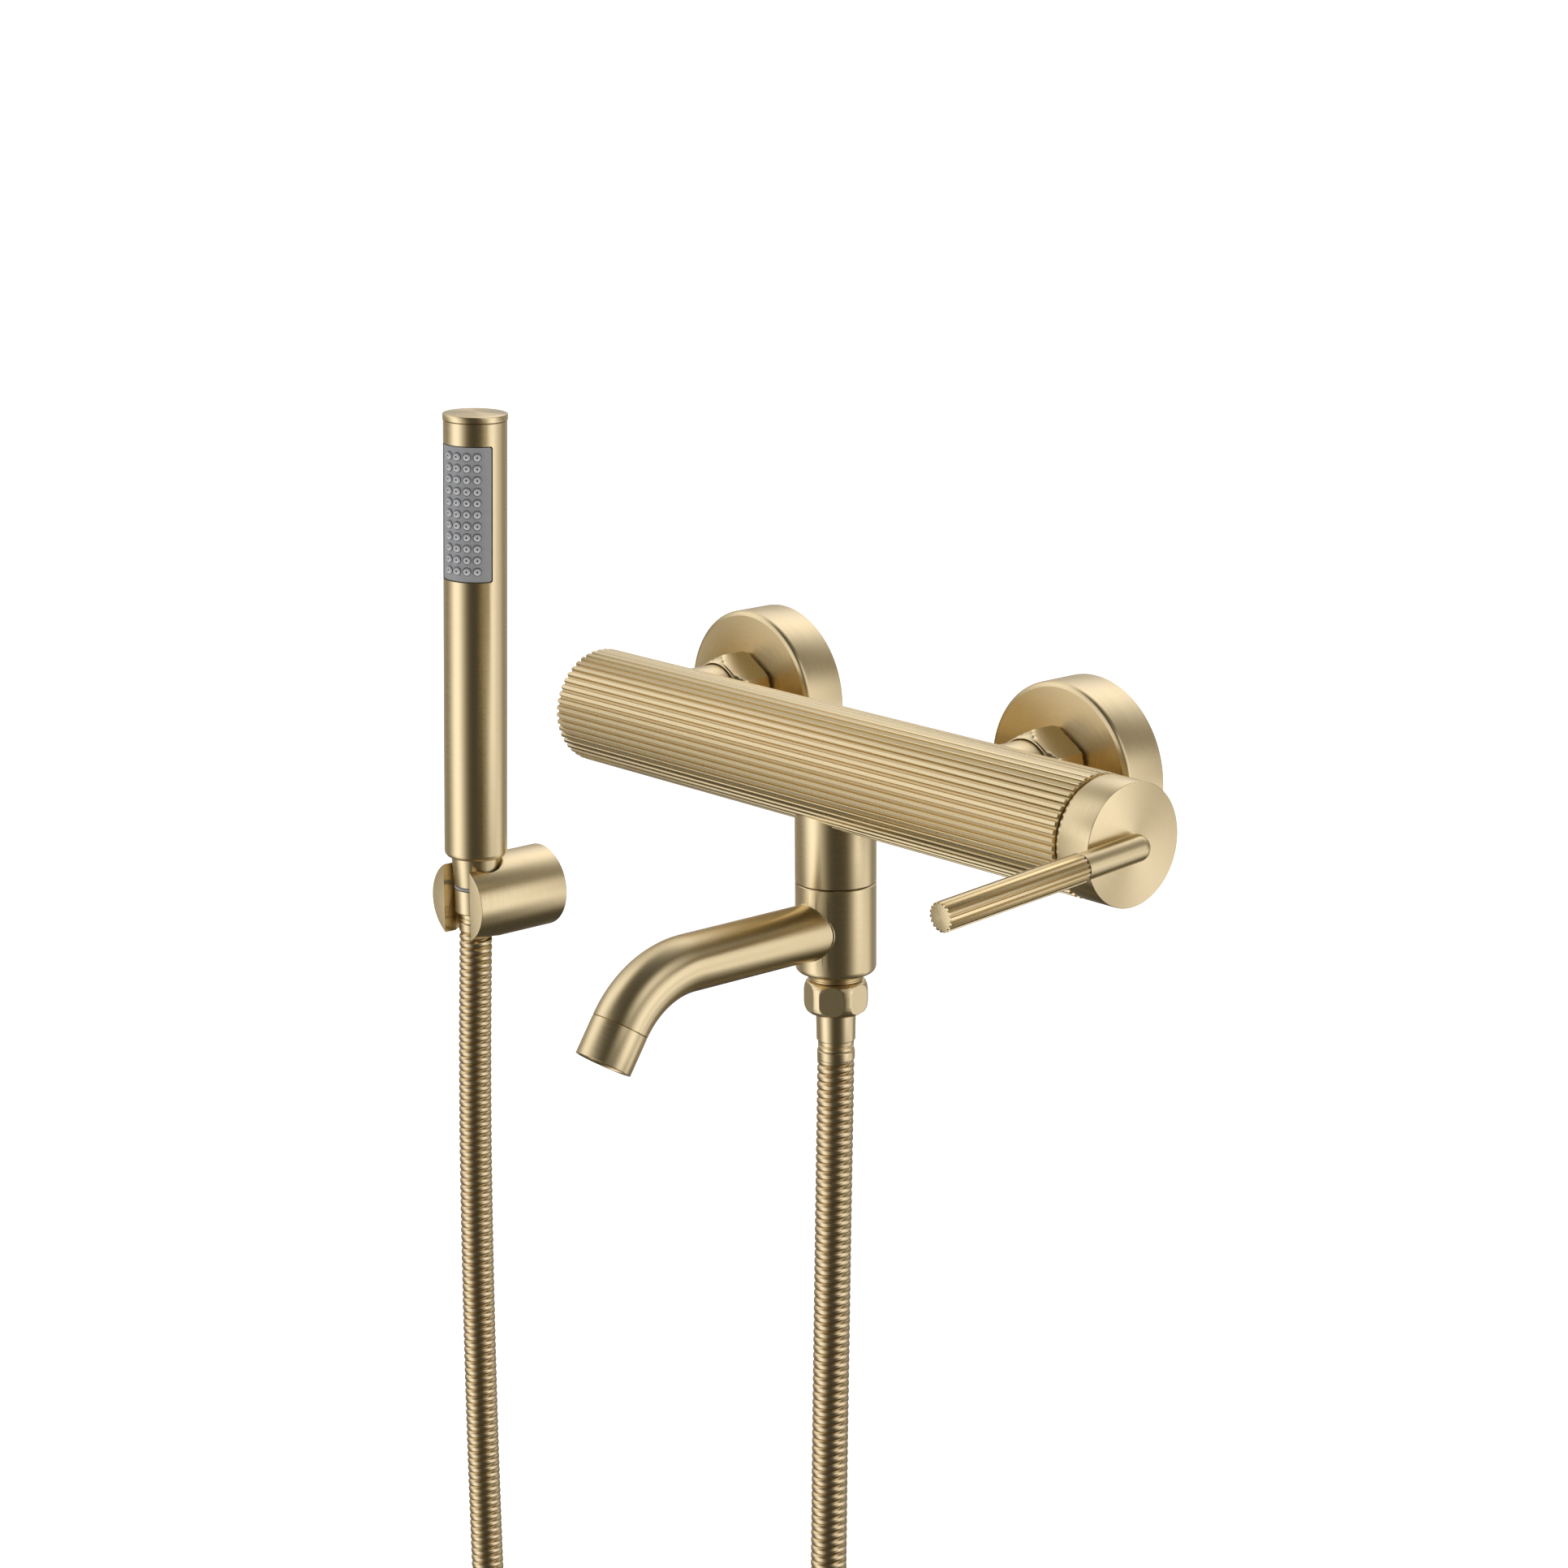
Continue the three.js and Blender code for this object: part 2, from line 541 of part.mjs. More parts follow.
// A wedge of a tube wall, centred on the side the spray faces.
function curvedPanel(inner, outer, halfAngle, low, high) {
  const shape = new THREE.Shape();
  shape.absarc(0, 0, outer, -halfAngle, halfAngle, false);
  shape.absarc(0, 0, inner, halfAngle, -halfAngle, true);
  const options = { depth: high - low, curveSegments: 10, bevelEnabled: false };
  const geometry = new THREE.ExtrudeGeometry(shape, options);
  geometry.rotateZ(-Math.PI / 2 + HANDSET_FACING);
  geometry.translate(0, 0, low);
  geometry.applyQuaternion(lean);
  geometry.translate(...handsetLine);
  return solid(geometry);
}

function handsetParts(handset, hoseEnd) {
  const barrel = turned(
    [[4, -99.5], [6, -99.5], [6, NECK_END], [8, NECK_END], [9.5, NECK_TOP], [9.7, NECK_TOP],
      [HANDSET_RADIUS, NECK_TOP + 2.1], [HANDSET_RADIUS, HANDSET_TOP], [10, HANDSET_TOP],
      [10, -72], [4, -72]],
    handsetUp, handsetLine, 32,
  );
  const window = curvedPanel(9, 13, SPRAY_HALF_ANGLE + 0.02, SPRAY_BOTTOM - GAP, SPRAY_TOP + GAP);
  add('handset_body', subtract(barrel, window), 'brass', handset);
  const topCap = turned(
    [[0, 78], [9.7, 78], [9.7, HANDSET_TOP + GAP], [12, HANDSET_TOP + GAP], [12, 85.1], [11.7, 85.4],
      [6, 85.7], [0, 85.8]],
    handsetUp, handsetLine, 32,
  );
  add('handset_top_cap', topCap, 'brass', handset);
  const plate = curvedPanel(10, 11.5, SPRAY_HALF_ANGLE, SPRAY_BOTTOM, SPRAY_TOP);
  add('spray_plate', plate, 'greySilicone', handset);
  const mat = curvedPanel(8.6, 9.6, SPRAY_HALF_ANGLE + 0.05, SPRAY_BOTTOM - 2, SPRAY_TOP + 2);
  add('nozzle_mat', mat, 'greySilicone', handset);
  add('flow_regulator', ring(1.5, 3.7, -98, -92, handsetUp, handsetLine, 12), 'whitePlastic', handset);
  add('handset_washer', ring(6.3, 7.95, -93.4, -92.6, handsetUp, handsetLine, 16), 'greySilicone', handset);

  const cone = turned(
    [[4.6, -103.1], [7.2, -103.1], [7.6, -102.7], [7.9, -93.7], [6.3, -93.7], [6.3, -100.6], [4.6, -100.6]],
    handsetUp, handsetLine, 16,
  );
  add('hose_cone', cone, 'brass', hoseEnd);
  add('cone_washer', ring(4, 6, -100.4, -99.8, handsetUp, handsetLine, 16), 'rubber', hoseEnd);
  const collar = turned(
    [[3, -106.7], [5.9, -106.7], [5.9, -103.4], [4.3, -103.4], [4.3, -100.7], [3, -100.7]],
    handsetUp, handsetLine, 16,
  );
  add('hose_collar', collar, 'brass', hoseEnd);
}

// ---------------------------------------------------------------- wall bracket
function bracketParts() {
  const point = [HANDSET.x, 0, BRACKET_Z];
  const body = turned(
    [[0, 5.2], [11.5, 5.2], [11.5, 0], [BRACKET_RADIUS, 0], [BRACKET_RADIUS, BRACKET_LENGTH - 0.4],
      [BRACKET_RADIUS - 0.4, BRACKET_LENGTH], [0, BRACKET_LENGTH]],
    DIRECTION.out, point, 32,
  );
  const cradle = turned(
    [[0, -120], [8.3, -120], [8.3, NECK_END], [9.9, NECK_TOP], [9.9, -75], [0, -75]],
    handsetUp, handsetLine, 24,
  );
  const half = BRACKET_SLOT / 2;
  const slot = box(HANDSET.x - half, HANDSET.x + half, -BRACKET_LENGTH - 1, HANDSET.y, -120, -75);
  const screwLine = [HANDSET.x, -2.6, BRACKET_Z];
  const screwHole = rod(1.8, -17, -10, DIRECTION.up, screwLine, 12);
  add('bracket_body', subtract(body, cradle, slot, screwHole), 'brass');
  const plate = subtract(
    rod(11.2, 0, 4.8, DIRECTION.out, point, 20),
    turned([[0, -1], [2.3, -1], [2.3, 2.6], [4.6, 5], [0, 5]], DIRECTION.out, point, 8),
    rod(1.8, -14, -9, DIRECTION.up, screwLine, 12),
  );
  add('bracket_wall_plate', plate, 'darkSteel');
  add('bracket_grub_screw', rod(1.5, -15, -9.4, DIRECTION.up, screwLine, 12), 'darkSteel');
}

// ---------------------------------------------------------------- assembly
const handle = new THREE.Group();
const spout = new THREE.Group();
const handset = new THREE.Group();
const hoseEnd = new THREE.Group();
model.add(handle, spout, handset, hoseEnd);

bodyParts();
cartridgeParts(handle);
handleParts(handle);
inletParts();
spoutParts(spout);
hoseParts();
handsetParts(handset, hoseEnd);
bracketParts();

export default model;
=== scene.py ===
"""Wall-mounted bath mixer with a hand shower: pieces, finishes, light and camera on the CAD frame."""
import json
import math

import bmesh
import bpy
from mathutils import Matrix, Vector


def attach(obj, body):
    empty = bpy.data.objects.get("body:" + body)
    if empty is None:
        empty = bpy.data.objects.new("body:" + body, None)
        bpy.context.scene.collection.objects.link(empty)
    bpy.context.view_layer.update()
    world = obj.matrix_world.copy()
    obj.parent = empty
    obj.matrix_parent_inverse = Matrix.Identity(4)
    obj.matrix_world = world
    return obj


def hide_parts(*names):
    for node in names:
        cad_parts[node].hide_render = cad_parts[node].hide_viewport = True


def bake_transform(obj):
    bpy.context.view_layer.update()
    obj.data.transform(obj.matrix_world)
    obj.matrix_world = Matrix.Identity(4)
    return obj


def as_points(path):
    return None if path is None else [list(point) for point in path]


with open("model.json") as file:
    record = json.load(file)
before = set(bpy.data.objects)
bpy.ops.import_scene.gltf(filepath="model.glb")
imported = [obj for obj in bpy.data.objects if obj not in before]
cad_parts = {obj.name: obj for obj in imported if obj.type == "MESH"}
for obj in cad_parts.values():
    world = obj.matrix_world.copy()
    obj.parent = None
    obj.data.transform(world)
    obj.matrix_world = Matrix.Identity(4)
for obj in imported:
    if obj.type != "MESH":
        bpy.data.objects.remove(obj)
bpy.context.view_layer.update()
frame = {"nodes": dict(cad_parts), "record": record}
nodes = frame["nodes"]
scene = bpy.context.scene

# Lengths are millimetres in the CAD's frame unless a comment says metres, and MM turns them into metres.
MM = 0.001
TAU = 2 * math.pi
RIGHT, OUT, UP = Vector((1, 0, 0)), Vector((0, -1, 0)), Vector((0, 0, 1))

# ---------------------------------------------------------------- driving dimensions, as in the CAD
BODY = Vector((0, -50.8, -3))
BODY_RADIUS, BODY_LEFT, BODY_RIGHT = 19.6, -113.2, 126.6
BODY_RIBS, BODY_GROOVE = 48, 0.9
END_RADIUS, CARTRIDGE_FLOOR = 16.2, 120
CAP_RADIUS, CAP_BACK, CAP_FACE = 19.5, 128.8, 141.2
LEVER_DROP = math.radians(4.2)
LEVER = Vector((143.9, BODY.y, BODY.z))
LEVER_OUT = Vector((0, -math.cos(LEVER_DROP), -math.sin(LEVER_DROP)))
STEM_RADIUS, STEM_START, GRIP_START, GRIP_END = 4.3, 1.5, 25.3, 82.3
GRIP_RADIUS, GRIP_RIBS, GRIP_GROOVE = 4.7, 18, 0.6
INLET_X, UNION_LIFT = 75, 3
ROSETTE_RADIUS, ROSETTE_DEPTH = 30.7, 16.1
NUT_FLATS, NUT_BACK, NUT_FRONT, NUT_SHOULDER, SLEEVE_RADIUS = 24.6, 17.2, 30.8, 27.5, 11.2
OUTLET = Vector((8.2, BODY.y, 0))
OUTLET_RADIUS, SWIVEL_Z, SPOUT_BOTTOM, SPOUT_Z = 13.35, -41.3, -72, -56.6
ARM_RADIUS, BEND_START, BEND_RADIUS, BEND_ANGLE = 9.4, -114.1, 33, math.radians(57)
AERATOR_LENGTH = 13.3
HOSE_NUT_FLATS, HOSE_NUT_TURN = 19.4, math.radians(-20)
LEAN = 0.02269 * Vector((0.66, 0.75, 0))
HANDSET_UP = (UP + LEAN).normalized()
HANDSET_PIVOT, HANDSET_Y = -90, -31
HANDSET = Vector((-214.9, HANDSET_Y, HANDSET_PIVOT)) - HANDSET_UP * HANDSET_PIVOT
HANDSET_RADIUS, HANDSET_TOP, NECK_TOP, NECK_END = 11.75, 82.7, -81.2, -92.3
HANDSET_FACING = math.radians(28)
SPRAY_HALF_ANGLE, SPRAY_BOTTOM, SPRAY_TOP = math.radians(56), 24.8, 74.2
BRACKET = Vector((-214.9, 0, -98))
BRACKET_RADIUS, BRACKET_LENGTH, BRACKET_SLOT = 15.5, 40, 16
HOSE_LENGTH, HOSE_DIAMETER = 1.25, 0.0124  # metres

# ---------------------------------------------------------------- camera
CAMERA_PLACE = Vector((924.33, -876.06, 302.45)) * MM
CAMERA_RIGHT = Vector((0.66011951, 0.75114366, -0.00504207))
CAMERA_UP = Vector((-0.18063427, 0.16525313, 0.96956829))
FILM_WIDTH, FOCAL_LENGTH, FAR_LIMIT = 36, 90, 200  # millimetres, millimetres and metres


def make_camera():
    """The camera that was fitted to the photo's straight edges and circles."""
    data = bpy.data.cameras.new("camera")
    data.sensor_width = FILM_WIDTH
    data.lens = FOCAL_LENGTH
    data.clip_end = FAR_LIMIT
    camera = bpy.data.objects.new("camera", data)
    scene.collection.objects.link(camera)
    back = CAMERA_RIGHT.cross(CAMERA_UP)
    turn = Matrix((CAMERA_RIGHT, CAMERA_UP, back)).transposed()
    camera.matrix_world = Matrix.Translation(CAMERA_PLACE) @ turn.to_4x4()
    scene.camera = camera


make_camera()


# ---------------------------------------------------------------- mesh helpers
SHARP = 32  # degrees between two faces from which their shared edge isn't shaded smooth
NEARLY_STRAIGHT = math.radians(172)


def side_of(along):
    """Two directions square to this one, so that (first, second, along) is right-handed."""
    for first in (RIGHT, UP):
        if abs(along.dot(first)) < 0.9:
            first = (first - along * along.dot(first)).normalized()
            return first, along.cross(first)


def piece(name, verts, faces, sharp=SHARP):
    """A mesh object from points in millimetres, with its faces turned outwards."""
    mesh = bpy.data.meshes.new(name)
    mesh.from_pydata([v * MM for v in verts], [], faces)
    work = bmesh.new()
    work.from_mesh(mesh)
    bmesh.ops.recalc_face_normals(work, faces=work.faces)
    work.to_mesh(mesh)
    work.free()
    shade(mesh, sharp)
    obj = bpy.data.objects.new(name, mesh)
    scene.collection.objects.link(obj)
    return obj


def shade(mesh, sharp=SHARP):
    mesh.polygons.foreach_set("use_smooth", [True] * len(mesh.polygons))
    mesh.set_sharp_from_angle(angle=math.radians(sharp))


def soften(profile, radius, steps=3, closed=False):
    """The profile with each corner turned into a small arc."""
    count = len(profile)
    result = []
    for i, corner in enumerate(profile):
        if not closed and i in (0, count - 1):
            result.append(corner)
            continue
        here = Vector(corner)
        before, after = Vector(profile[i - 1]) - here, Vector(profile[(i + 1) % count]) - here
        # Less than half of each side, so that two arcs on one side never meet
        reach = min(radius, before.length * 0.45, after.length * 0.45)
        if before.angle(after, math.pi) > NEARLY_STRAIGHT or reach < 1e-4:
            result.append(corner)
            continue
        start, end = here + before.normalized() * reach, here + after.normalized() * reach
        for k in range(steps + 1):
            t = k / steps
            point = start * (1 - t) ** 2 + here * 2 * t * (1 - t) + end * t * t
            result.append(tuple(point))
    return result


def turned(profile, origin, along, segments=96, angles=None, shape=None, closed=False):
    """(vertices, faces) of a profile of (radius, height) turned about a line.

    shape gives the radius to use at an angle, from the profile's radius.
    """
    first, second = side_of(along)
    angles = angles or [TAU * k / segments for k in range(segments)]
    verts, rows = [], []
    for radius, height in profile:
        if radius < 1e-6:
            rows.append([len(verts)])
            verts.append(origin + along * height)
            continue
        row = []
        for angle in angles:
            reach = shape(radius, angle) if shape else radius
            outward = first * math.cos(angle) + second * math.sin(angle)
            row.append(len(verts))
            verts.append(origin + along * height + outward * reach)
        rows.append(row)
    pairs = list(zip(rows, rows[1:]))
    if closed:
        pairs.append((rows[-1], rows[0]))
    faces = []
    for low, high in pairs:
        count = max(len(low), len(high))
        for k in range(count):
            n = (k + 1) % count
            if len(low) == 1 and len(high) == 1:
                continue
            if len(low) == 1:
                faces.append((low[0], high[n], high[k]))
            elif len(high) == 1:
                faces.append((low[k], low[n], high[0]))
            else:
                faces.append((low[k], low[n], high[n], high[k]))
    return verts, faces


def lathe(name, profile, origin, along, round_off=0.2, closed=False, **options):
    """A piece turned about a line from a profile of (radius, height), with its corners rounded off."""
    outline = soften(profile, round_off, closed=closed) if round_off else profile
    return piece(name, *turned(outline, origin, along, closed=closed, **options))


def joined(name, *parts):
    """One piece made of several (vertices, faces)."""
    verts, faces = [], []
    for part_verts, part_faces in parts:
        start = len(verts)
        verts += part_verts
        faces += [tuple(start + i for i in face) for face in part_faces]
    return piece(name, verts, faces)


def combine(obj, tool, operation="DIFFERENCE", sharp=SHARP):
    """Cuts tool from obj, or joins it on, and removes the tool."""
    modifier = obj.modifiers.new("combine", "BOOLEAN")
    modifier.operation = operation
    modifier.solver = "EXACT"
    modifier.object = tool
    bpy.context.view_layer.update()
    result = bpy.data.meshes.new_from_object(obj.evaluated_get(bpy.context.evaluated_depsgraph_get()))
    obj.modifiers.clear()
    obj.data = result
    result.name = obj.name
    bpy.data.objects.remove(tool)
    shade(result, sharp)
    return obj


# One rib and its groove: share of the pitch gone by, and the drop there as a share of the groove's depth
RIB_OUTLINE = (
    (0.0, 0.12), (0.03, 0.0), (0.25, 0.0), (0.47, 0.0), (0.5, 0.12),
    (0.6, 0.94), (0.63, 1.0), (0.75, 1.0), (0.87, 1.0), (0.9, 0.94),
)
DULL_AND_SHADE_FROM = 0.7  # share of a groove's depth below which polishing doesn't reach, and below which the faces are also darkened as painted shade
END_FACE = 0.7  # a face whose normal lies along its piece by more than this is an end, not a groove


def ribs(count, depth, low_radius):
    """Angles and a radius rule for square ribs with small rounded shoulders."""
    pitch = TAU / count
    angles = [(i + share) * pitch for i in range(count) for share, _ in RIB_OUTLINE]

    def shape(radius, angle):
        if radius < low_radius:
            return radius
        gone_by = int(round(angle / pitch * 1000)) % 1000 / 1000
        _, drop = min(RIB_OUTLINE, key=lambda point: abs(point[0] - gone_by))
        return radius - depth * drop

    return angles, shape


def dull_and_shade_grooves(obj, origin, along, radius, depth):
    """Gives a ribbed piece's groove floors and walls the duller brass that polishing doesn't reach, its
    darker colour partly painted shade in the grooves.
    """
    obj.data.materials.append(looks["groove"])
    for face in obj.data.polygons:
        from_line = face.center / MM - origin
        height = from_line.dot(along)
        is_end = abs(face.normal.dot(along)) > END_FACE
        if (from_line - along * height).length < radius - depth * DULL_AND_SHADE_FROM and not is_end:
            face.material_index = 1


def hexagon(across_flats, turn, low_radius):
    """A radius rule that keeps a turned shape inside a hexagon, with a corner at angle turn."""
    sector = TAU / 6

    def shape(radius, angle):
        if radius < low_radius:
            return radius
        off = (angle - turn) % sector - sector / 2
        return min(radius, across_flats / 2 / math.cos(off))

    return shape


# ---------------------------------------------------------------- finishes
BRASS = (0.81, 0.65, 0.36)
GRAIN_RANGE = (0.3, 0.7)  # nearly all of the noise's values lie in it
TINT_RANGE = (0.96, 1.03)
ROUGHNESS_RANGE = (0.85, 1.15)
GRAIN_DETAIL = 3
GRAIN_HEIGHT = 0.00001  # metres
BRUSH_SPREAD, BRUSH_TURN = 0.8, 0.25


def material(name, colour, roughness, metallic=1.0):
    made = bpy.data.materials.new(name)
    made.use_nodes = True
    shader = made.node_tree.nodes["Principled BSDF"]
    shader.inputs["Base Color"].default_value = (*colour, 1)
    shader.inputs["Roughness"].default_value = roughness
    shader.inputs["Metallic"].default_value = metallic
    made.diffuse_color = (*colour, 1)
    return made


def vector_math(tree, operation, first, second=None, scale=None):
    """A vector node's result. Each input is a value or another node's socket."""
    node = tree.nodes.new("ShaderNodeVectorMath")
    node.operation = operation
    for socket, value in ((0, first), (1, second), ("Scale", scale)):
        if value is None:
            continue
        if isinstance(value, bpy.types.NodeSocket):
            tree.links.new(value, node.inputs[socket])
        else:
            node.inputs[socket].default_value = value
    return node.outputs["Value" if operation in ("DOT_PRODUCT", "LENGTH") else "Vector"]


def remap(tree, value, low, high, source=GRAIN_RANGE):
    """The value moved from the source range to low..high, and held inside it."""
    node = tree.nodes.new("ShaderNodeMapRange")
    node.inputs["From Min"].default_value, node.inputs["From Max"].default_value = source
    node.inputs["To Min"].default_value, node.inputs["To Max"].default_value = low, high
    tree.links.new(value, node.inputs["Value"])
    return node


def brushed(name, origin, along, roughness=0.31, fine=6500.0, streak=2.0, depth=0.22):
    """Brass brushed in rings about a line, as a piece is when it is polished in a lathe."""
    made = material(name, BRASS, roughness)
    tree = made.node_tree
    shader = tree.nodes["Principled BSDF"]
    place = tree.nodes.new("ShaderNodeTexCoord").outputs["Object"]
    from_line = vector_math(tree, "SUBTRACT", place, tuple(origin * MM))
    height = vector_math(tree, "DOT_PRODUCT", from_line, tuple(along))
    axial = vector_math(tree, "SCALE", tuple(along), scale=height)
    radial = vector_math(tree, "SUBTRACT", from_line, axial)
    reach = vector_math(tree, "LENGTH", radial)
    outward = vector_math(tree, "NORMALIZE", radial)
    rings = tree.nodes.new("ShaderNodeCombineXYZ")
    tree.links.new(height, rings.inputs["X"])
    tree.links.new(reach, rings.inputs["Y"])
    stretched = vector_math(tree, "SCALE", rings.outputs["Vector"], scale=fine)
    around = vector_math(tree, "SCALE", outward, scale=streak)
    grain = tree.nodes.new("ShaderNodeTexNoise")
    grain.inputs["Scale"].default_value = 1
    grain.inputs["Detail"].default_value = GRAIN_DETAIL
    tree.links.new(vector_math(tree, "ADD", stretched, around), grain.inputs["Vector"])
    finish_with(made, grain.outputs["Fac"], BRASS, roughness, depth)
    circle = vector_math(tree, "CROSS_PRODUCT", tuple(along), outward)
    turn = tree.nodes.new("ShaderNodeVectorTransform")
    turn.vector_type = "VECTOR"
    turn.convert_from = "OBJECT"
    turn.convert_to = "WORLD"
    tree.links.new(circle, turn.inputs[0])
    tree.links.new(turn.outputs[0], shader.inputs["Tangent"])
    shader.inputs["Anisotropic"].default_value = BRUSH_SPREAD
    shader.inputs["Anisotropic Rotation"].default_value = BRUSH_TURN
    return made


def finish_with(made, grain, colour, roughness, depth):
    """Lets a grain value vary a finish's colour, roughness and surface a little."""
    tree = made.node_tree
    shader = tree.nodes["Principled BSDF"]
    tint = remap(tree, grain, *TINT_RANGE)
    shaded = vector_math(tree, "SCALE", colour, scale=tint.outputs["Result"])
    tree.links.new(shaded, shader.inputs["Base Color"])
    rough = remap(tree, grain, *(roughness * share for share in ROUGHNESS_RANGE))
    tree.links.new(rough.outputs["Result"], shader.inputs["Roughness"])
    bump = tree.nodes.new("ShaderNodeBump")
    bump.inputs["Strength"].default_value = depth
    bump.inputs["Distance"].default_value = GRAIN_HEIGHT
    tree.links.new(grain, bump.inputs["Height"])
    tree.links.new(bump.outputs["Normal"], shader.inputs["Normal"])


def grained(name, colour, roughness, metallic, scale, depth):
    """An even finish with a fine cloudy grain."""
    made = material(name, colour, roughness, metallic)
    tree = made.node_tree
    place = tree.nodes.new("ShaderNodeTexCoord").outputs["Object"]
    grain = tree.nodes.new("ShaderNodeTexNoise")
    grain.inputs["Scale"].default_value = scale
    grain.inputs["Detail"].default_value = GRAIN_DETAIL
    tree.links.new(place, grain.inputs["Vector"])
    finish_with(made, grain.outputs["Fac"], colour, roughness, depth)
    return made


def union_line(side):
    """A point on the line of an inlet: -1 is the left one and 1 the right one."""
    return Vector((side * INLET_X, 0, UNION_LIFT))


MOUTH_OUT = Vector((0, -math.cos(BEND_ANGLE), -math.sin(BEND_ANGLE)))
ARM_LINE = Vector((OUTLET.x, OUTLET.y, SPOUT_Z))
BEND_END = Vector((
    OUTLET.x,
    BEND_START - BEND_RADIUS * math.sin(BEND_ANGLE),
    SPOUT_Z - BEND_RADIUS * (1 - math.cos(BEND_ANGLE)),
))

RIBBED = {"fine": 9000.0, "depth": 0.05}  # a finer grain, because a coarse one breaks up the ribs' edges

looks = {
    "body": brushed("brass_body", BODY, RIGHT, roughness=0.28, **RIBBED),
    "cap": brushed("brass_cap", BODY, RIGHT),
    "lever": brushed("brass_lever", LEVER, LEVER_OUT),
    "grip": brushed("brass_grip", LEVER, LEVER_OUT, roughness=0.25, **RIBBED),
    "outlet": brushed("brass_outlet", OUTLET, UP),
    "arm": brushed("brass_arm", ARM_LINE, OUT),
    "mouth": brushed("brass_mouth", BEND_END, MOUTH_OUT),
    "handset": brushed("brass_handset", HANDSET, HANDSET_UP),
    "bracket": brushed("brass_bracket", BRACKET, OUT),
}
# Look, material name, colour, roughness, metallic, grain scale and grain depth
for look, name, *finish in (
    # The groove finish is rougher as unpolished brass, and darker partly as painted shade in the grooves.
    ("groove", "brass_groove_dull_and_shaded", (0.6, 0.455, 0.23), 0.36, 1, 5000, 0.05),
    ("nut", "brass_nut", BRASS, 0.3, 1, 5000, 0.03),
    ("raw", "raw_brass", (0.66, 0.5, 0.25), 0.4, 1, 1500, 0.3),
    ("hose", "hose_steel", (0.72, 0.56, 0.31), 0.25, 1, 5000, 0.02),
    ("rubber", "black_rubber", (0.018, 0.018, 0.019), 0.6, 0, 700, 0.3),
    ("silicone", "grey_silicone", (0.29, 0.292, 0.283), 0.5, 0, 900, 0.3),
    ("nozzle", "nozzle_silicone", (0.5, 0.5, 0.485), 0.5, 0, 900, 0.3),
    # Black, for painted shade in the nozzles' openings and painted shadow rings round the nozzles.
    ("hole", "nozzle_painted_shade", (0.01, 0.01, 0.01), 0.7, 0, 900, 0.3),
    ("ceramic", "ceramic", (0.82, 0.8, 0.75), 0.3, 0, 600, 0.3),
    ("white", "white_plastic", (0.72, 0.72, 0.7), 0.45, 0, 500, 0.3),
    ("dark", "dark_steel", (0.12, 0.12, 0.12), 0.35, 1, 900, 0.3),
):
    looks[look] = grained(name, *finish)
for side, name in ((-1, "left"), (1, "right")):
    looks[f"inlet_{name}"] = brushed(f"brass_inlet_{name}", union_line(side), OUT)
    looks[f"rosette_{name}"] = brushed(f"brass_rosette_{name}", Vector((side * INLET_X, 0, 0)), OUT)

SLOT_LOOK = {
    "brushed_brass": "outlet", "raw_brass": "raw", "hose_steel": "hose", "black_rubber": "rubber",
    "grey_silicone": "silicone", "ceramic": "ceramic", "white_plastic": "white", "dark_steel": "dark",
}
slot_of = {part["node"]: part["material_slot"] for part in frame["record"]["subparts"]}
bodies = frame["record"]["behaviour"]["bodies"]
body_of = {node: body for body, members in bodies.items() for node in members}
for node, obj in nodes.items():
    obj.data.materials.clear()
    obj.data.materials.append(looks[SLOT_LOOK[slot_of[node]]])


def stands_for(obj, look, *covered):
    """The piece takes a finish, rides with the body of the CAD nodes it stands for, and replaces them."""
    if not obj.data.materials:
        obj.data.materials.append(looks[look])
    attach(obj, body_of[covered[0]])
    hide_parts(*covered)
    return obj


# ---------------------------------------------------------------- hose
HOSE_ROUTE = [
    (8.2, -50.8, -99), (7.8, -50.8, -116), (7, -50.7, -142), (5.7, -50.5, -187), (4, -50.2, -247),
    (1.9, -49.4, -317), (-0.4, -48.3, -392), (-3.6, -46.9, -466), (-8.3, -45.5, -526), (-14.8, -44.3, -571),
    (-23.8, -43.3, -607), (-36.8, -42.4, -637), (-54.5, -41.6, -661), (-76.3, -41.1, -677),
    (-100.4, -40.9, -683), (-124.9, -40.8, -679), (-146.5, -40.4, -667), (-165, -39.9, -646),
    (-180.3, -39.2, -616), (-191.2, -38.5, -581), (-199.6, -37.6, -537), (-206.2, -36.6, -477),
    (-211.2, -35.6, -402), (-214.4, -34.7, -327), (-216, -33.9, -257), (-216.5, -33.1, -197),
    (-216.1, -32.3, -152), (-215.5, -31.7, -125), (-215.16, -31.3, -107),
]
HOSE_PITCH, HOSE_SIDES, HOSE_GROOVE = 2.85, 32, 0.7
# How deep the casing's surface lies along one turn, from one band's middle over the groove to the next
HOSE_PROFILE = (0.0, 0.03, 0.15, 0.55, 1.0, 0.55, 0.15, 0.03)
HOSE_SAMPLES = len(HOSE_PROFILE)


def smooth_route(points, per_step=24):
    """A uniform Catmull-Rom line through the points."""
    points = [Vector(p) for p in points]
    ends = [points[0] * 2 - points[1]] + points + [points[-1] * 2 - points[-2]]
    line = []
    for before, a, b, after in zip(ends, ends[1:], ends[2:], ends[3:]):
        for k in range(per_step):
            t = k / per_step
            slope_a, slope_b = (b - before) / 2, (after - a) / 2
            line.append(
                a * (2 * t**3 - 3 * t**2 + 1) + slope_a * (t**3 - 2 * t**2 + t)
                + b * (3 * t**2 - 2 * t**3) + slope_b * (t**3 - t**2)
            )
    return line + [points[-1]]


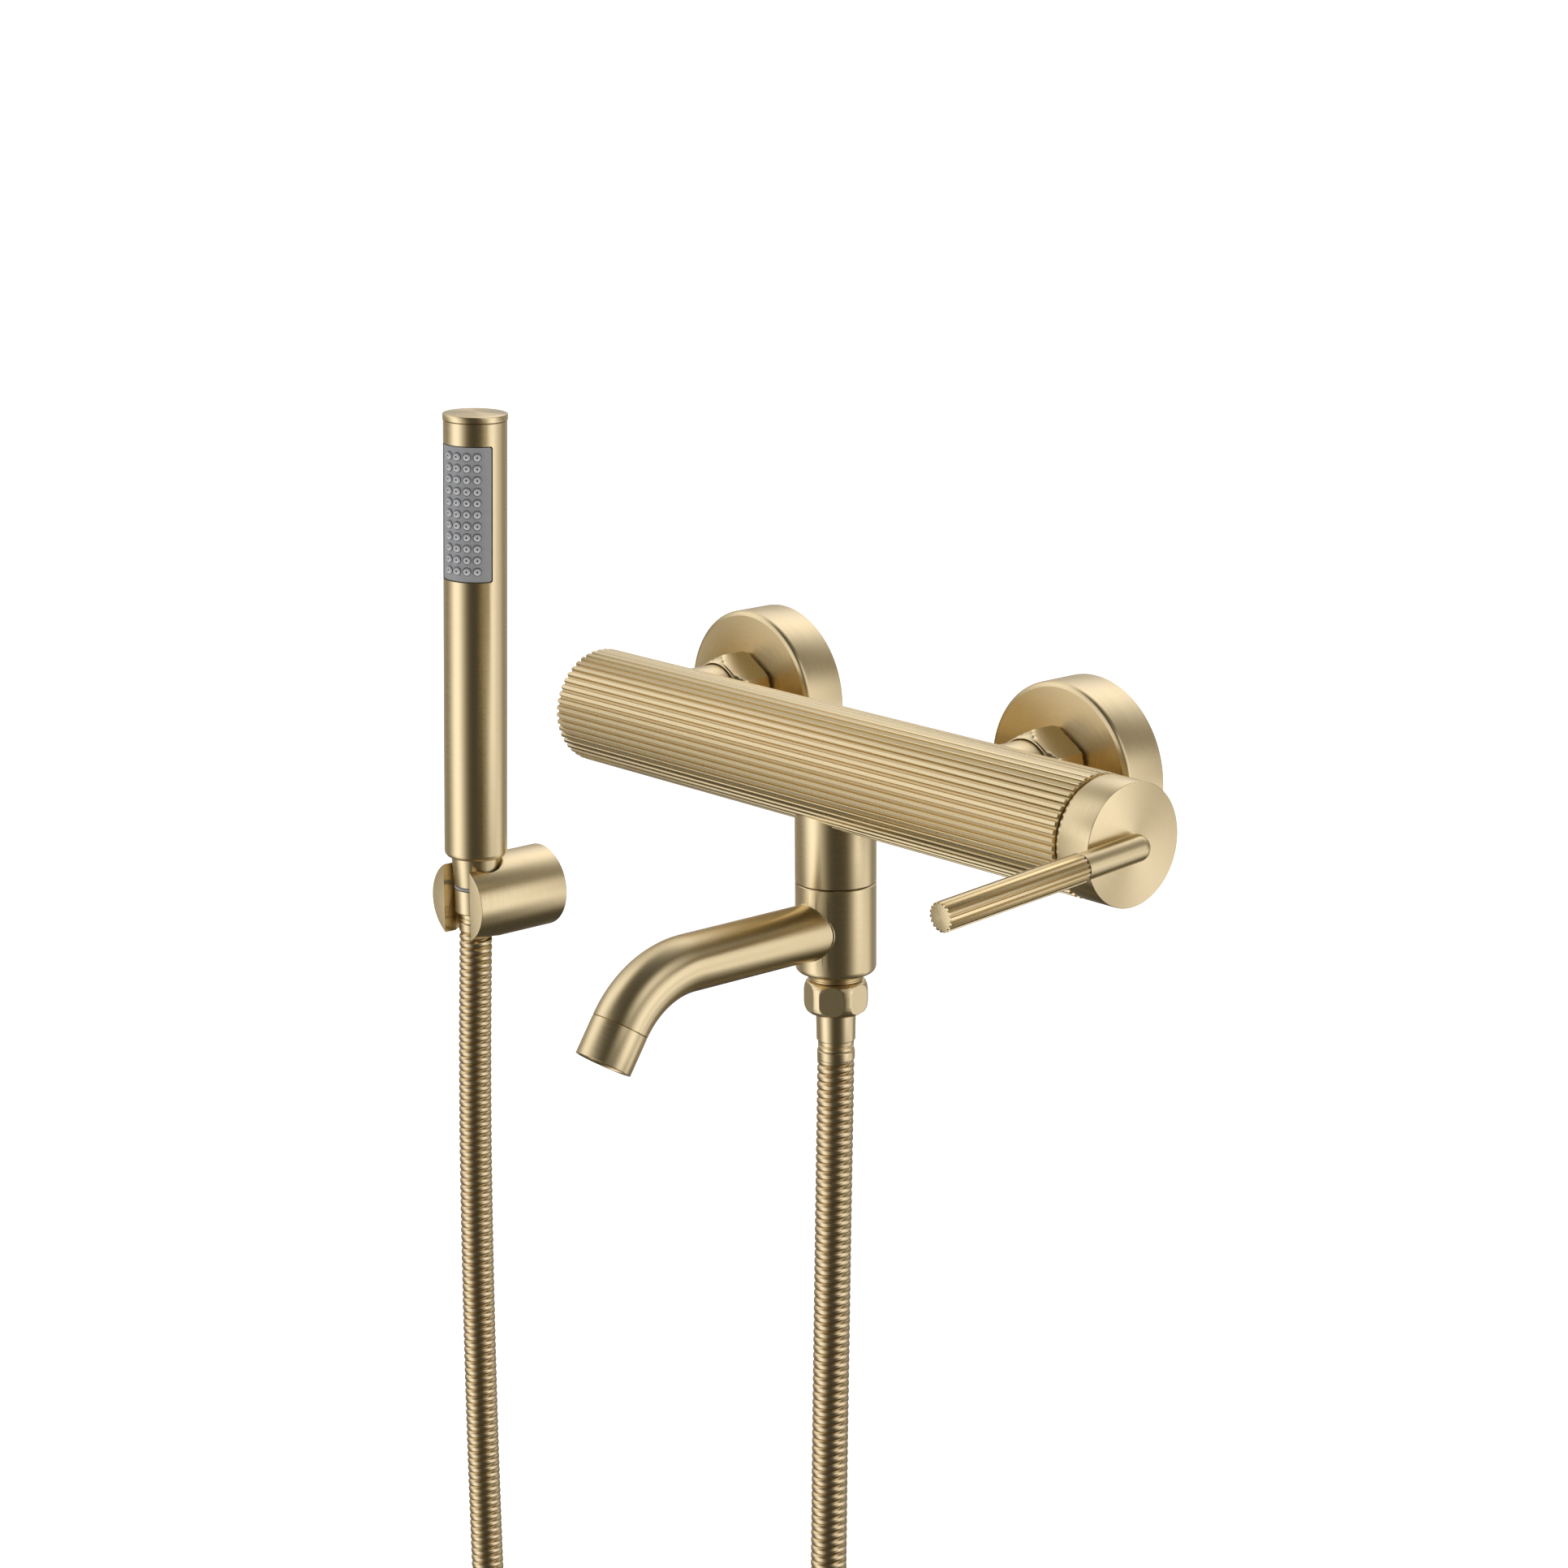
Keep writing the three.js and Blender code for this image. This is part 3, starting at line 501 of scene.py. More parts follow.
def even_steps(line, step):
    """Points a fixed distance apart along a line, with the line's direction at each."""
    total = sum((b - a).length for a, b in zip(line, line[1:]))
    count = round(total / step)
    step = total / count
    result, travelled, i = [], 0.0, 0
    for k in range(count + 1):
        while i < len(line) - 2 and travelled + (line[i + 1] - line[i]).length < k * step:
            travelled += (line[i + 1] - line[i]).length
            i += 1
        stretch = line[i + 1] - line[i]
        share = min(1, (k * step - travelled) / stretch.length)
        result.append((line[i] + stretch * share, stretch.normalized()))
    return result


def make_hose():
    """A metal hose whose casing is one strip wound in a spiral: flat bands with narrow grooves between."""
    stations = even_steps(smooth_route(HOSE_ROUTE), HOSE_PITCH / HOSE_SAMPLES)
    crest_radius = HOSE_DIAMETER / MM / 2
    frames = []
    across = RIGHT
    for point, along in stations:
        across = (across - along * across.dot(along)).normalized()
        frames.append((point, across, along.cross(across)))
    rows = len(stations) - 1 - HOSE_SAMPLES
    verts, faces = [], []
    for k in range(rows + 1):
        reach = crest_radius - HOSE_GROOVE * HOSE_PROFILE[k % HOSE_SAMPLES]
        for j in range(HOSE_SIDES):
            spot = k + HOSE_SAMPLES * j / HOSE_SIDES
            share = spot % 1
            here, ahead = frames[int(spot)], frames[int(spot) + 1]
            point, across, other = (a.lerp(b, share) for a, b in zip(here, ahead))
            angle = TAU * j / HOSE_SIDES
            verts.append(point + (across * math.cos(angle) + other * math.sin(angle)) * reach)
    for k in range(rows):
        for j in range(HOSE_SIDES - 1):
            low, high = k * HOSE_SIDES + j, (k + 1) * HOSE_SIDES + j
            faces.append((low, low + 1, high + 1, high))
        # The last side of one turn meets the first side of the next turn.
        if k + 1 + HOSE_SAMPLES <= rows:
            low, high = k * HOSE_SIDES, (k + 1) * HOSE_SIDES
            turn = HOSE_SAMPLES * HOSE_SIDES
            faces.append((low + HOSE_SIDES - 1, low + turn, high + turn, high + HOSE_SIDES - 1))
    start_seam = [k * HOSE_SIDES for k in range(HOSE_SAMPLES, 0, -1)]
    faces.append(tuple(list(range(HOSE_SIDES)) + start_seam)[::-1])
    end_row = rows * HOSE_SIDES
    end_seam = [(rows - k) * HOSE_SIDES + HOSE_SIDES - 1 for k in range(1, HOSE_SAMPLES + 1)]
    faces.append(tuple(list(range(end_row, end_row + HOSE_SIDES)) + end_seam))
    hose = piece("shower_hose", verts, faces, sharp=80)
    hose.data.materials.append(looks["hose"])
    every_other_turn = stations[:: HOSE_SAMPLES * 2] + [stations[-1]]
    path = [tuple(point * MM) for point, _ in every_other_turn]
    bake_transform(hose)
    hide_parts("hose")
    return hose, path


hose, hose_path = make_hose()


# ---------------------------------------------------------------- body
def make_body():
    recess, chamfer = 16.5, 0.25
    angles, shape = ribs(BODY_RIBS, BODY_GROOVE, low_radius=18.9)
    profile = [
        (0, BODY_LEFT + 3), (recess, BODY_LEFT + 3), (recess, BODY_LEFT),
        (BODY_RADIUS - chamfer, BODY_LEFT), (BODY_RADIUS, BODY_LEFT + chamfer),
        (BODY_RADIUS, BODY_RIGHT - chamfer), (BODY_RADIUS - chamfer, BODY_RIGHT),
        (recess, BODY_RIGHT), (recess, CARTRIDGE_FLOOR), (0, CARTRIDGE_FLOOR),
    ]
    body = piece("body_tube", *turned(profile, BODY, RIGHT, angles=angles, shape=shape), sharp=25)
    body.data.materials.append(looks["body"])
    dull_and_shade_grooves(body, BODY, RIGHT, BODY_RADIUS, BODY_GROOVE)
    stands_for(body, "body", "mixer_body")
    plug = [(0, BODY_LEFT), (END_RADIUS, BODY_LEFT), (END_RADIUS, BODY_LEFT + 2.7), (0, BODY_LEFT + 2.7)]
    stands_for(lathe("left_end_disc", plug, BODY, RIGHT, round_off=0.35), "cap", "end_plug")
    collar = [(13, 120.3), (END_RADIUS, 120.3), (END_RADIUS, 126.9), (18.2, 126.9), (18.2, 128.2),
              (13, 128.2)]
    stands_for(lathe("cap_collar", collar, BODY, RIGHT, round_off=0.15, closed=True), "body", "body_collar")


# ---------------------------------------------------------------- handle
def make_handle():
    cap = [
        (0, 138), (4.9, 138), (4.9, 130), (8, 130), (8, 136), (16, 136), (16, CAP_BACK),
        (CAP_RADIUS, CAP_BACK), (CAP_RADIUS, CAP_FACE), (0, CAP_FACE),
    ]
    stands_for(lathe("handle_disc", cap, BODY, RIGHT, round_off=0.3, segments=144), "cap", "handle_cap")
    screw_line = Vector((133, BODY.y, BODY.z))
    screw = [(0, -18.9), (1.1, -18.9), (1.1, -19.3), (1.9, -19.3), (1.9, -12), (0, -12)]
    screw = lathe("handle_screw", screw, screw_line, UP, round_off=0.1, segments=24)
    stands_for(screw, "dark", "handle_grub_screw")

    dome_steps, chamfer, gap, stud = 10, 0.15, 0.3, 3
    dome = [(STEM_RADIUS * math.sin(t), STEM_START - STEM_RADIUS * math.cos(t))
            for t in (k / dome_steps * math.pi / 2 for k in range(dome_steps + 1))]
    # The stud goes on into the grip, so that the gap between pin and grip has a floor.
    stem = dome + [
        (STEM_RADIUS, GRIP_START - gap - chamfer), (STEM_RADIUS - chamfer, GRIP_START - gap),
        (stud, GRIP_START - gap), (stud, GRIP_START + 0.5), (0, GRIP_START + 0.5),
    ]
    stands_for(lathe("lever_pin", stem, LEVER, LEVER_OUT, round_off=0, segments=64), "lever", "lever_stem")
    angles, shape = ribs(GRIP_RIBS, GRIP_GROOVE, low_radius=GRIP_RADIUS - 0.55)
    grip = [
        (0, GRIP_START), (GRIP_RADIUS - 0.5, GRIP_START), (GRIP_RADIUS - 0.1, GRIP_START + 0.2),
        (GRIP_RADIUS, GRIP_START + 0.5), (GRIP_RADIUS, GRIP_END - 0.5),
        (GRIP_RADIUS - 0.1, GRIP_END - 0.15), (GRIP_RADIUS - 0.55, GRIP_END), (0, GRIP_END),
    ]
    lever = piece("lever_handle", *turned(grip, LEVER, LEVER_OUT, angles=angles, shape=shape), sharp=25)
    lever.data.materials.append(looks["grip"])
    dull_and_shade_grooves(lever, LEVER, LEVER_OUT, GRIP_RADIUS, GRIP_GROOVE)
    stands_for(lever, "grip", "lever_grip")


# ---------------------------------------------------------------- inlets
def thread(radius, depth, low, high, pitch=1.8):
    """The profile of a thread drawn as separate rings."""
    points = []
    height = low
    while height < high - pitch:
        points += [(radius - depth, height), (radius, height + pitch * 0.4), (radius, height + pitch * 0.6)]
        height += pitch
    return points + [(radius - depth, height)]


def make_inlets():
    for side, name in ((-1, "left"), (1, "right")):
        wall = Vector((side * INLET_X, 0, 0))
        line = union_line(side)
        inner = ROSETTE_RADIUS - 2.6
        cup = [
            (0, ROSETTE_DEPTH - 2), (inner, ROSETTE_DEPTH - 2), (inner, 0), (ROSETTE_RADIUS, 0),
            (ROSETTE_RADIUS, ROSETTE_DEPTH - 1.7), (ROSETTE_RADIUS - 0.15, ROSETTE_DEPTH - 1.0),
            (ROSETTE_RADIUS - 0.6, ROSETTE_DEPTH - 0.45), (ROSETTE_RADIUS - 1.7, ROSETTE_DEPTH),
            (0, ROSETTE_DEPTH),
        ]
        cover = lathe(f"cover_{name}", cup, wall, OUT, round_off=0.12, segments=144)
        hole = lathe(f"tool_{name}", [(0, 5), (11.8, 5), (11.8, 20), (0, 20)], line, OUT, round_off=0)
        stands_for(combine(cover, hole), f"rosette_{name}", f"rosette_{name}")

        corner = NUT_FLATS / math.sqrt(3)
        front = [(corner, NUT_FRONT - 3.4), (corner - 0.35, NUT_FRONT - 2.3),
                 (corner - 0.9, NUT_FRONT - 1.4), (corner - 1.6, NUT_FRONT - 0.6),
                 (corner - 2.2, NUT_FRONT - 0.1), (11.75, NUT_FRONT)]
        back = [(corner - 1.1, NUT_BACK), (corner - 0.3, NUT_BACK + 0.4), (corner, NUT_BACK + 1)]
        bore = [(11.5, NUT_FRONT - 0.3), (11.5, NUT_SHOULDER), (10.1, NUT_SHOULDER), (10.1, 21.8),
                (11.7, 21.8), (11.7, NUT_BACK)]
        rings = back + [(corner, NUT_BACK + 1 + k * 0.9) for k in range(1, 10)] + front + bore
        shape = hexagon(NUT_FLATS, turn=math.pi / 2, low_radius=11.76)
        nut = turned(rings, line, OUT, segments=180, closed=True, shape=shape)
        stands_for(piece(f"nut_{name}", *nut, sharp=20), "nut", f"union_nut_{name}")

        sleeve = [(5.5, 19.3), (11, 19.3), (11, 21.3), (9.8, 21.3), (9.8, 27.8), (SLEEVE_RADIUS, 27.8),
                  (SLEEVE_RADIUS, 40), (5.5, 40)]
        sleeve = lathe(f"sleeve_{name}", sleeve, line, OUT, round_off=0.2, closed=True)
        stands_for(sleeve, f"inlet_{name}", f"inlet_spigot_{name}")

        tail = [(6, -12)] + thread(radius=10.2, depth=1.0, low=-12, high=4) + [(10.2, 9), (6, 9)]
        flange = [(6, 6), (11.4, 6), (11.4, 17), (6, 17)]
        tail = turned(soften(tail, radius=0.1, closed=True), wall, OUT, closed=True)
        flange = turned(soften(flange, radius=0.3, closed=True), line, OUT, closed=True)
        stands_for(joined(f"wall_fitting_{name}", tail, flange), "raw", f"wall_union_{name}")


# ---------------------------------------------------------------- outlet and spout
ARM_FILLET = 0.35
# How far from the outlet's axis the arm's rings lie before its bend, close together where the fillet is
ARM_RINGS = [0, 7] + [8 + k * 0.175 for k in range(40)] + [20, 30, 40, 50]


def arm_tube(radius, bend_steps=44, sides=72):
    """(vertices, faces) of the spout's arm: straight out, then down round the bend.

    Its root widens where it meets the upright tee, as a small fillet.
    """
    stations = [(Vector((OUTLET.x, OUTLET.y - reach, SPOUT_Z)), 0.0) for reach in ARM_RINGS]
    for k in range(bend_steps + 1):
        angle = BEND_ANGLE * k / bend_steps
        place = Vector((OUTLET.x, BEND_START - BEND_RADIUS * math.sin(angle),
                        SPOUT_Z - BEND_RADIUS * (1 - math.cos(angle))))
        stations.append((place, angle))
    verts, faces = [], []
    for place, angle in stations:
        top = Vector((0, -math.sin(angle), math.cos(angle)))
        for j in range(sides):
            turn = TAU * j / sides
            tee_surface = math.sqrt(OUTLET_RADIUS**2 - (radius * math.cos(turn)) ** 2)
            clear = min(1.0, max(0.0, (OUTLET.y - place.y - tee_surface) / ARM_FILLET))
            flare = ARM_FILLET * (1 - math.sqrt(1 - (1 - clear) ** 2))
            verts.append(place + (RIGHT * math.cos(turn) + top * math.sin(turn)) * (radius + flare))
    for k in range(len(stations) - 1):
        for j in range(sides):
            n = (j + 1) % sides
            faces.append((k * sides + j, k * sides + n, (k + 1) * sides + n, (k + 1) * sides + j))
    faces.append(tuple(range(sides))[::-1])
    faces.append(tuple(range((len(stations) - 1) * sides, len(stations) * sides)))
    return verts, faces


def make_outlet():
    tube = [(8, SWIVEL_Z + 0.2), (OUTLET_RADIUS, SWIVEL_Z + 0.2), (OUTLET_RADIUS, -14), (8, -14)]
    stands_for(lathe("outlet_neck", tube, OUTLET, UP, round_off=0.25, closed=True), "outlet", "outlet_tube")
    collar = [(7.3, -74.3), (9.1, -74.3), (9.1, -73.9), (8.7, -73.75), (8.7, -73.6), (9.1, -73.45),
              (9.1, -73.1), (8.7, -72.95), (8.7, -72.8), (9.1, -72.65), (9.1, -72.3), (7.3, -72.3)]
    neck_ring = lathe("neck_ring", collar, OUTLET, UP, round_off=0.08, closed=True)
    stands_for(neck_ring, "outlet", "retaining_collar")


def make_spout():
    top = SWIVEL_Z - 0.2
    tee = [(0, SPOUT_BOTTOM), (10.8, SPOUT_BOTTOM), (OUTLET_RADIUS - 1.7, SPOUT_BOTTOM + 0.12),
           (OUTLET_RADIUS - 0.95, SPOUT_BOTTOM + 0.45), (OUTLET_RADIUS - 0.35, SPOUT_BOTTOM + 1.05),
           (OUTLET_RADIUS - 0.07, SPOUT_BOTTOM + 1.75), (OUTLET_RADIUS, SPOUT_BOTTOM + 2.4),
           (OUTLET_RADIUS, top - 0.25), (OUTLET_RADIUS - 0.25, top), (0, top)]
    body = piece("spout_tee", *turned(tee, OUTLET, UP))
    body.data.materials.append(looks["outlet"])
    arm = piece("arm", *arm_tube(ARM_RADIUS))
    arm.data.materials.append(looks["arm"])
    combine(body, arm, "UNION")
    stands_for(body, "outlet", "spout_body")

    length = AERATOR_LENGTH
    # The ring's spigot goes on into the arm, so that the joint between them has a floor.
    ring = [(ARM_RADIUS, 0.25), (ARM_RADIUS, length), (8.4, length), (8.0, length - 0.4), (8.0, 3.5),
            (6.0, 3.5), (6.0, -0.6), (8.5, -0.6), (8.5, 0.25)]
    mouth = lathe("spout_mouth", ring, BEND_END, MOUTH_OUT, round_off=0.25, closed=True)
    stands_for(mouth, "mouth", "aerator_ring")
    insert = [(0, 7.2), (1.1, 7.2), (1.3, 9.8), (2.0, 9.8), (2.2, 7.6), (3.1, 7.6), (3.3, 9.8),
              (4.0, 9.8), (4.2, 7.6), (5.1, 7.6), (5.3, 9.8), (6.0, 9.8), (6.2, 7.6), (6.8, 7.6),
              (7.0, 9.8), (7.7, 9.8), (7.7, 5.5), (0, 5.5)]
    grille = lathe("aerator_grille", insert, BEND_END, MOUTH_OUT, round_off=0.1)
    stands_for(grille, "silicone", "aerator_insert")


def make_hose_fittings():
    """The union nut and sleeves at the hose's two ends. Returns all of them."""
    rings = [(8.0, -85.9), (9.0, -85.65), (9.75, -85.1), (10.25, -84.2), (10.5, -83.2), (10.6, -82)]
    rings += [(10.6, -81.4 + k * 0.5) for k in range(7)]
    rings += [(10.5, -77.4), (10.3, -76.4), (9.9, -75.5), (9.4, -74.95), (8.7, -74.6), (7.3, -74.6),
              (7.3, -85.9)]
    finer = []
    for (r0, h0), (r1, h1) in zip(rings, rings[1:] + rings[:1]):
        finer += [(r0 + (r1 - r0) * k / 4, h0 + (h1 - h0) * k / 4) for k in range(4)]
    shape = hexagon(HOSE_NUT_FLATS, turn=HOSE_NUT_TURN, low_radius=8.0)
    nut = turned(finer, OUTLET, UP, segments=216, closed=True, shape=shape)
    nut = stands_for(piece("hose_union_nut", *nut, sharp=14), "nut", "hose_nut")
    ferrule = [(4, -98.7), (6, -98.7), (6, -97.5), (5.6, -97.3), (5.6, -97), (6, -96.8), (6, -95.5),
               (6.45, -95.2), (6.6, -86.4), (6.6, -83.7), (4, -83.7)]
    ferrule = lathe("hose_end_sleeve", ferrule, OUTLET, UP, round_off=0.12, closed=True)
    stands_for(ferrule, "outlet", "hose_ferrule")
    cone = [(4.6, -103.1), (7.3, -103.1), (7.65, -102.6), (7.95, -93.8), (6.3, -93.8), (6.3, -100.6),
            (4.6, -100.6)]
    cone = lathe("handset_cone", cone, HANDSET, HANDSET_UP, round_off=0.15, closed=True)
    stands_for(cone, "handset", "hose_cone")
    collar = [(3, -106.7), (5.9, -106.7), (5.9, -105.4), (5.55, -105.2), (5.55, -104.9), (5.9, -104.7),
              (5.9, -103.4), (3, -103.4)]
    collar = lathe("handset_hose_sleeve", collar, HANDSET, HANDSET_UP, round_off=0.12, closed=True)
    stands_for(collar, "handset", "hose_collar")
    # A plain cuff at each end of the hose hides where its spiral starts.
    cuffs = []
    for name, place, along, body, start in (
        ("hose_cuff_low", OUTLET, UP, "mixer", -98.8),
        ("hose_cuff_high", HANDSET, HANDSET_UP, "handset", -106.8),
    ):
        end = start - HOSE_PITCH - 0.5
        ring = [(5.1, end), (6.1, end), (6.28, end + 0.3), (6.28, start - 0.3), (6.1, start), (5.1, start)]
        cuff = lathe(name, ring, place, along, round_off=0.1, closed=True)
        cuff.data.materials.append(looks["hose"])
        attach(cuff, body)
        cuffs.append(cuff)
    return nut, ferrule, cone, collar, *cuffs


# ---------------------------------------------------------------- hand shower
def spray_direction(angle):
    """The direction square to the hand shower's line, at this angle from the middle of its spray face."""
    heading = -math.pi / 2 + HANDSET_FACING + angle
    level = Vector((math.cos(heading), math.sin(heading), 0))
    return (level - HANDSET_UP * level.dot(HANDSET_UP)).normalized()


def curved_panel(inner, outer, half_angle, low, high, corner=0.8, steps=48, corner_steps=6):
    """(vertices, faces) of a piece of tube wall with rounded corners, facing the spray side."""
    reach = corner / outer
    straight = half_angle - reach
    ends = [straight + reach * math.cos(k / corner_steps * math.pi / 2) for k in range(corner_steps + 1)]
    middle = [-straight + 2 * straight * k / steps for k in range(steps + 1)]
    columns = sorted({round(angle, 5) for angle in middle + ends + [-end for end in ends]})

    def span(angle):
        """The panel's lowest and highest point at this angle."""
        over = max(0.0, abs(angle) - straight) / reach
        drop = corner * (1 - math.sqrt(max(0.0, 1 - over * over)))
        return low + drop, high - drop

    verts, faces = [], []
    for radius in (inner, outer):
        for angle in columns:
            verts += [HANDSET + spray_direction(angle) * radius + HANDSET_UP * end for end in span(angle)]
    half = 2 * len(columns)
    for k in range(len(columns) - 1):
        a, b = 2 * k, 2 * k + 2
        faces += [(a, a + 1, b + 1, b), (half + a, half + b, half + b + 1, half + a + 1),
                  (a, b, half + b, half + a), (a + 1, half + a + 1, half + b + 1, b + 1)]
    last = half - 2
    faces += [(0, half, half + 1, 1), (last, last + 1, half + last + 1, half + last)]
    return verts, faces


NOZZLE_COLUMNS = (-28.5, -9.5, 9.5, 28.5)  # degrees from the middle of the spray face
NOZZLE_ROWS, NOZZLE_TOP, NOZZLE_BOTTOM = 11, 70.7, 28.6
PLATE_RADIUS = 11.5


def make_handset():
    barrel = [
        (4, -99.5), (5.9, -99.5), (5.9, NECK_END), (7.9, NECK_END), (8.05, NECK_END + 0.4), (9.2, NECK_TOP),
        (9.6, NECK_TOP), (10.1, NECK_TOP + 0.1), (10.9, NECK_TOP + 0.5), (11.5, NECK_TOP + 1.3),
        (11.7, NECK_TOP + 2.2), (HANDSET_RADIUS, -30), (HANDSET_RADIUS, HANDSET_TOP - 0.08),
        (HANDSET_RADIUS - 0.08, HANDSET_TOP), (10, HANDSET_TOP), (10, -72), (4, -72),
    ]
    body = piece("handset_barrel", *turned(barrel, HANDSET, HANDSET_UP, segments=160, closed=True))
    body.data.materials.append(looks["handset"])
    window = curved_panel(9, 13.5, SPRAY_HALF_ANGLE + 0.03, SPRAY_BOTTOM - 0.4, SPRAY_TOP + 0.4, corner=1)
    stands_for(combine(body, piece("window", *window)), "handset", "handset_body")
    cap = [(0, 79), (9.7, 79), (9.7, 83), (11.9, 83), (11.95, 83.06), (12, 84.9), (11.85, 85.2),
           (11.4, 85.35), (9, 85.5), (5, 85.7), (0, 85.8)]
    lid = lathe("handset_lid", cap, HANDSET, HANDSET_UP, round_off=0, segments=128)
    stands_for(lid, "handset", "handset_top_cap")
    plate = piece("spray_face", *curved_panel(10, PLATE_RADIUS, SPRAY_HALF_ANGLE, SPRAY_BOTTOM, SPRAY_TOP))
    stands_for(plate, "silicone", "spray_plate")

    parts = [curved_panel(8.6, 9.6, SPRAY_HALF_ANGLE + 0.05, SPRAY_BOTTOM - 1, SPRAY_TOP + 1, corner=0.5)]
    shade_marks = []
    for column in NOZZLE_COLUMNS:
        way = spray_direction(math.radians(column))
        for row in range(NOZZLE_ROWS):
            height = NOZZLE_TOP - row * (NOZZLE_TOP - NOZZLE_BOTTOM) / (NOZZLE_ROWS - 1)
            origin = HANDSET + HANDSET_UP * height
            nib = [(0, 9.4), (1.4, 9.4), (1.4, 11.6), (1.3, 11.95), (1.1, 12.2), (0.8, 12.3), (0, 12.3)]
            parts.append(turned(nib, origin, way, segments=20))
            # A black disc on each nozzle's tip: painted shade for the inside of its opening.
            hole = [(0, 12.1), (0.36, 12.1), (0.36, 12.34), (0, 12.34)]
            shade_marks.append(turned(hole, origin, way, segments=12))
            # A black ring round each nozzle's foot: a painted shadow where the nozzle meets the plate.
            collar = [(1.4, 11), (1.6, 11), (1.6, 11.54), (1.4, 11.54)]
            shade_marks.append(turned(collar, origin, way, segments=20, closed=True))
    mat = joined("nozzle_set", *parts)
    shade_mesh = joined("nozzle_shade_marks", *shade_marks)
    shade_mesh.data.materials.append(looks["hole"])
    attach(shade_mesh, "handset")
    stands_for(mat, "nozzle", "nozzle_mat")
    washer = [(6.3, -93.5), (8.0, -93.5), (8.0, -92.5), (6.3, -92.5)]
    gasket = lathe("cone_gasket", washer, HANDSET, HANDSET_UP, round_off=0.2, closed=True)
    stands_for(gasket, "silicone", "handset_washer")


# ---------------------------------------------------------------- bracket
def make_bracket():
    """A round post on the wall, with a cradle for the hand shower's cone and a slot for the hose."""
    post = [(0, 5.2), (11.5, 5.2), (11.5, 0), (BRACKET_RADIUS, 0), (BRACKET_RADIUS, BRACKET_LENGTH),
            (0, BRACKET_LENGTH)]
    body = lathe("bracket_post", post, BRACKET, OUT, round_off=0.35, segments=160)
    below, above = -120, -75
    cradle = [(0, below), (8.5, below), (8.5, NECK_END - 2), (9.0, NECK_END), (10.1, NECK_TOP - 1),
              (10.1, above), (0, above)]
    combine(body, lathe("cradle", cradle, HANDSET, HANDSET_UP, round_off=0.4))
    half = BRACKET_SLOT / 2
    corners = [Vector((x, y, z)) for x in (-half, half) for y in (-BRACKET_LENGTH - 2, HANDSET_Y)
               for z in (below, above)]
    slot = piece("slot", [Vector((BRACKET.x, 0, 0)) + c for c in corners],
                 [(0, 1, 3, 2), (4, 6, 7, 5), (0, 4, 5, 1), (2, 3, 7, 6), (0, 2, 6, 4), (1, 5, 7, 3)])
    stands_for(combine(body, slot, sharp=28), "bracket", "bracket_body")
    plate = [(0, 2.6), (2.3, 2.6), (2.3, 0), (11.2, 0), (11.2, 4.8), (4.6, 4.8), (2.4, 2.8), (0, 2.8)]
    stands_for(lathe("bracket_plate", plate, BRACKET, OUT, round_off=0.2), "dark", "bracket_wall_plate")


make_body()
make_handle()
make_inlets()
make_outlet()
make_spout()
fittings = make_hose_fittings()
make_handset()
make_bracket()

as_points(hose_path)


# ---------------------------------------------------------------- studio
FLOOR_REACH, FLOOR_LEVEL = 40, -1  # metres
FLOOR_PAINT, FLOOR_ROUGHNESS, FLOOR_GLOW = (0.9, 0.9, 0.9, 1), 0.9, 0.9


def make_floor():
    """A white floor well below the hose, left out of the reflections in the brass."""
    corners = [(x * FLOOR_REACH, y * FLOOR_REACH, FLOOR_LEVEL)
               for x, y in ((-1, -1), (1, -1), (1, 1), (-1, 1))]
    mesh = bpy.data.meshes.new("floor")
    mesh.from_pydata(corners, [], [(0, 1, 2, 3)])
    floor = bpy.data.objects.new("floor", mesh)
    scene.collection.objects.link(floor)
    made = bpy.data.materials.new("floor_paint")
    made.use_nodes = True
    shader = made.node_tree.nodes["Principled BSDF"]
    shader.inputs["Base Color"].default_value = FLOOR_PAINT
    shader.inputs["Roughness"].default_value = FLOOR_ROUGHNESS
    shader.inputs["Emission Color"].default_value = (1, 1, 1, 1)
    shader.inputs["Emission Strength"].default_value = FLOOR_GLOW
    mesh.materials.append(made)
    floor.visible_glossy = False


def level_direction(azimuth):
    """A level direction at this angle, in degrees, to the right of the camera."""
    towards = CAMERA_RIGHT.cross(CAMERA_UP)
    towards = Vector((towards.x, towards.y, 0)).normalized()
    right = Vector((-towards.y, towards.x, 0))
    turn = math.radians(azimuth)
    return towards * math.cos(turn) + right * math.sin(turn)


# Tall soft lights far away: azimuth, sharpness, lowest and highest elevation, brightness. Angles in degrees
LIGHTS = [
    (-68, 8, -52, 20, 1.45),
    (68, 12, -26, 22, 1.5),
    (104, 24, -42, -14, 1.1),
    (44, 18, 24, 50, 1.6),
    (150, 4, 22, 70, 1.2),
    (180, 1.4, -32, 75, 0.38),
    (-108, 6, 10, 66, 1.1),
]
AMBIENT = 0.07
SOFT_EDGE = 14  # degrees above and below a light's end over which it fades
WARM_FILL, COOL_LIGHT = (1.0, 0.94, 0.8, 1), (0.98, 1.0, 1.14, 1)


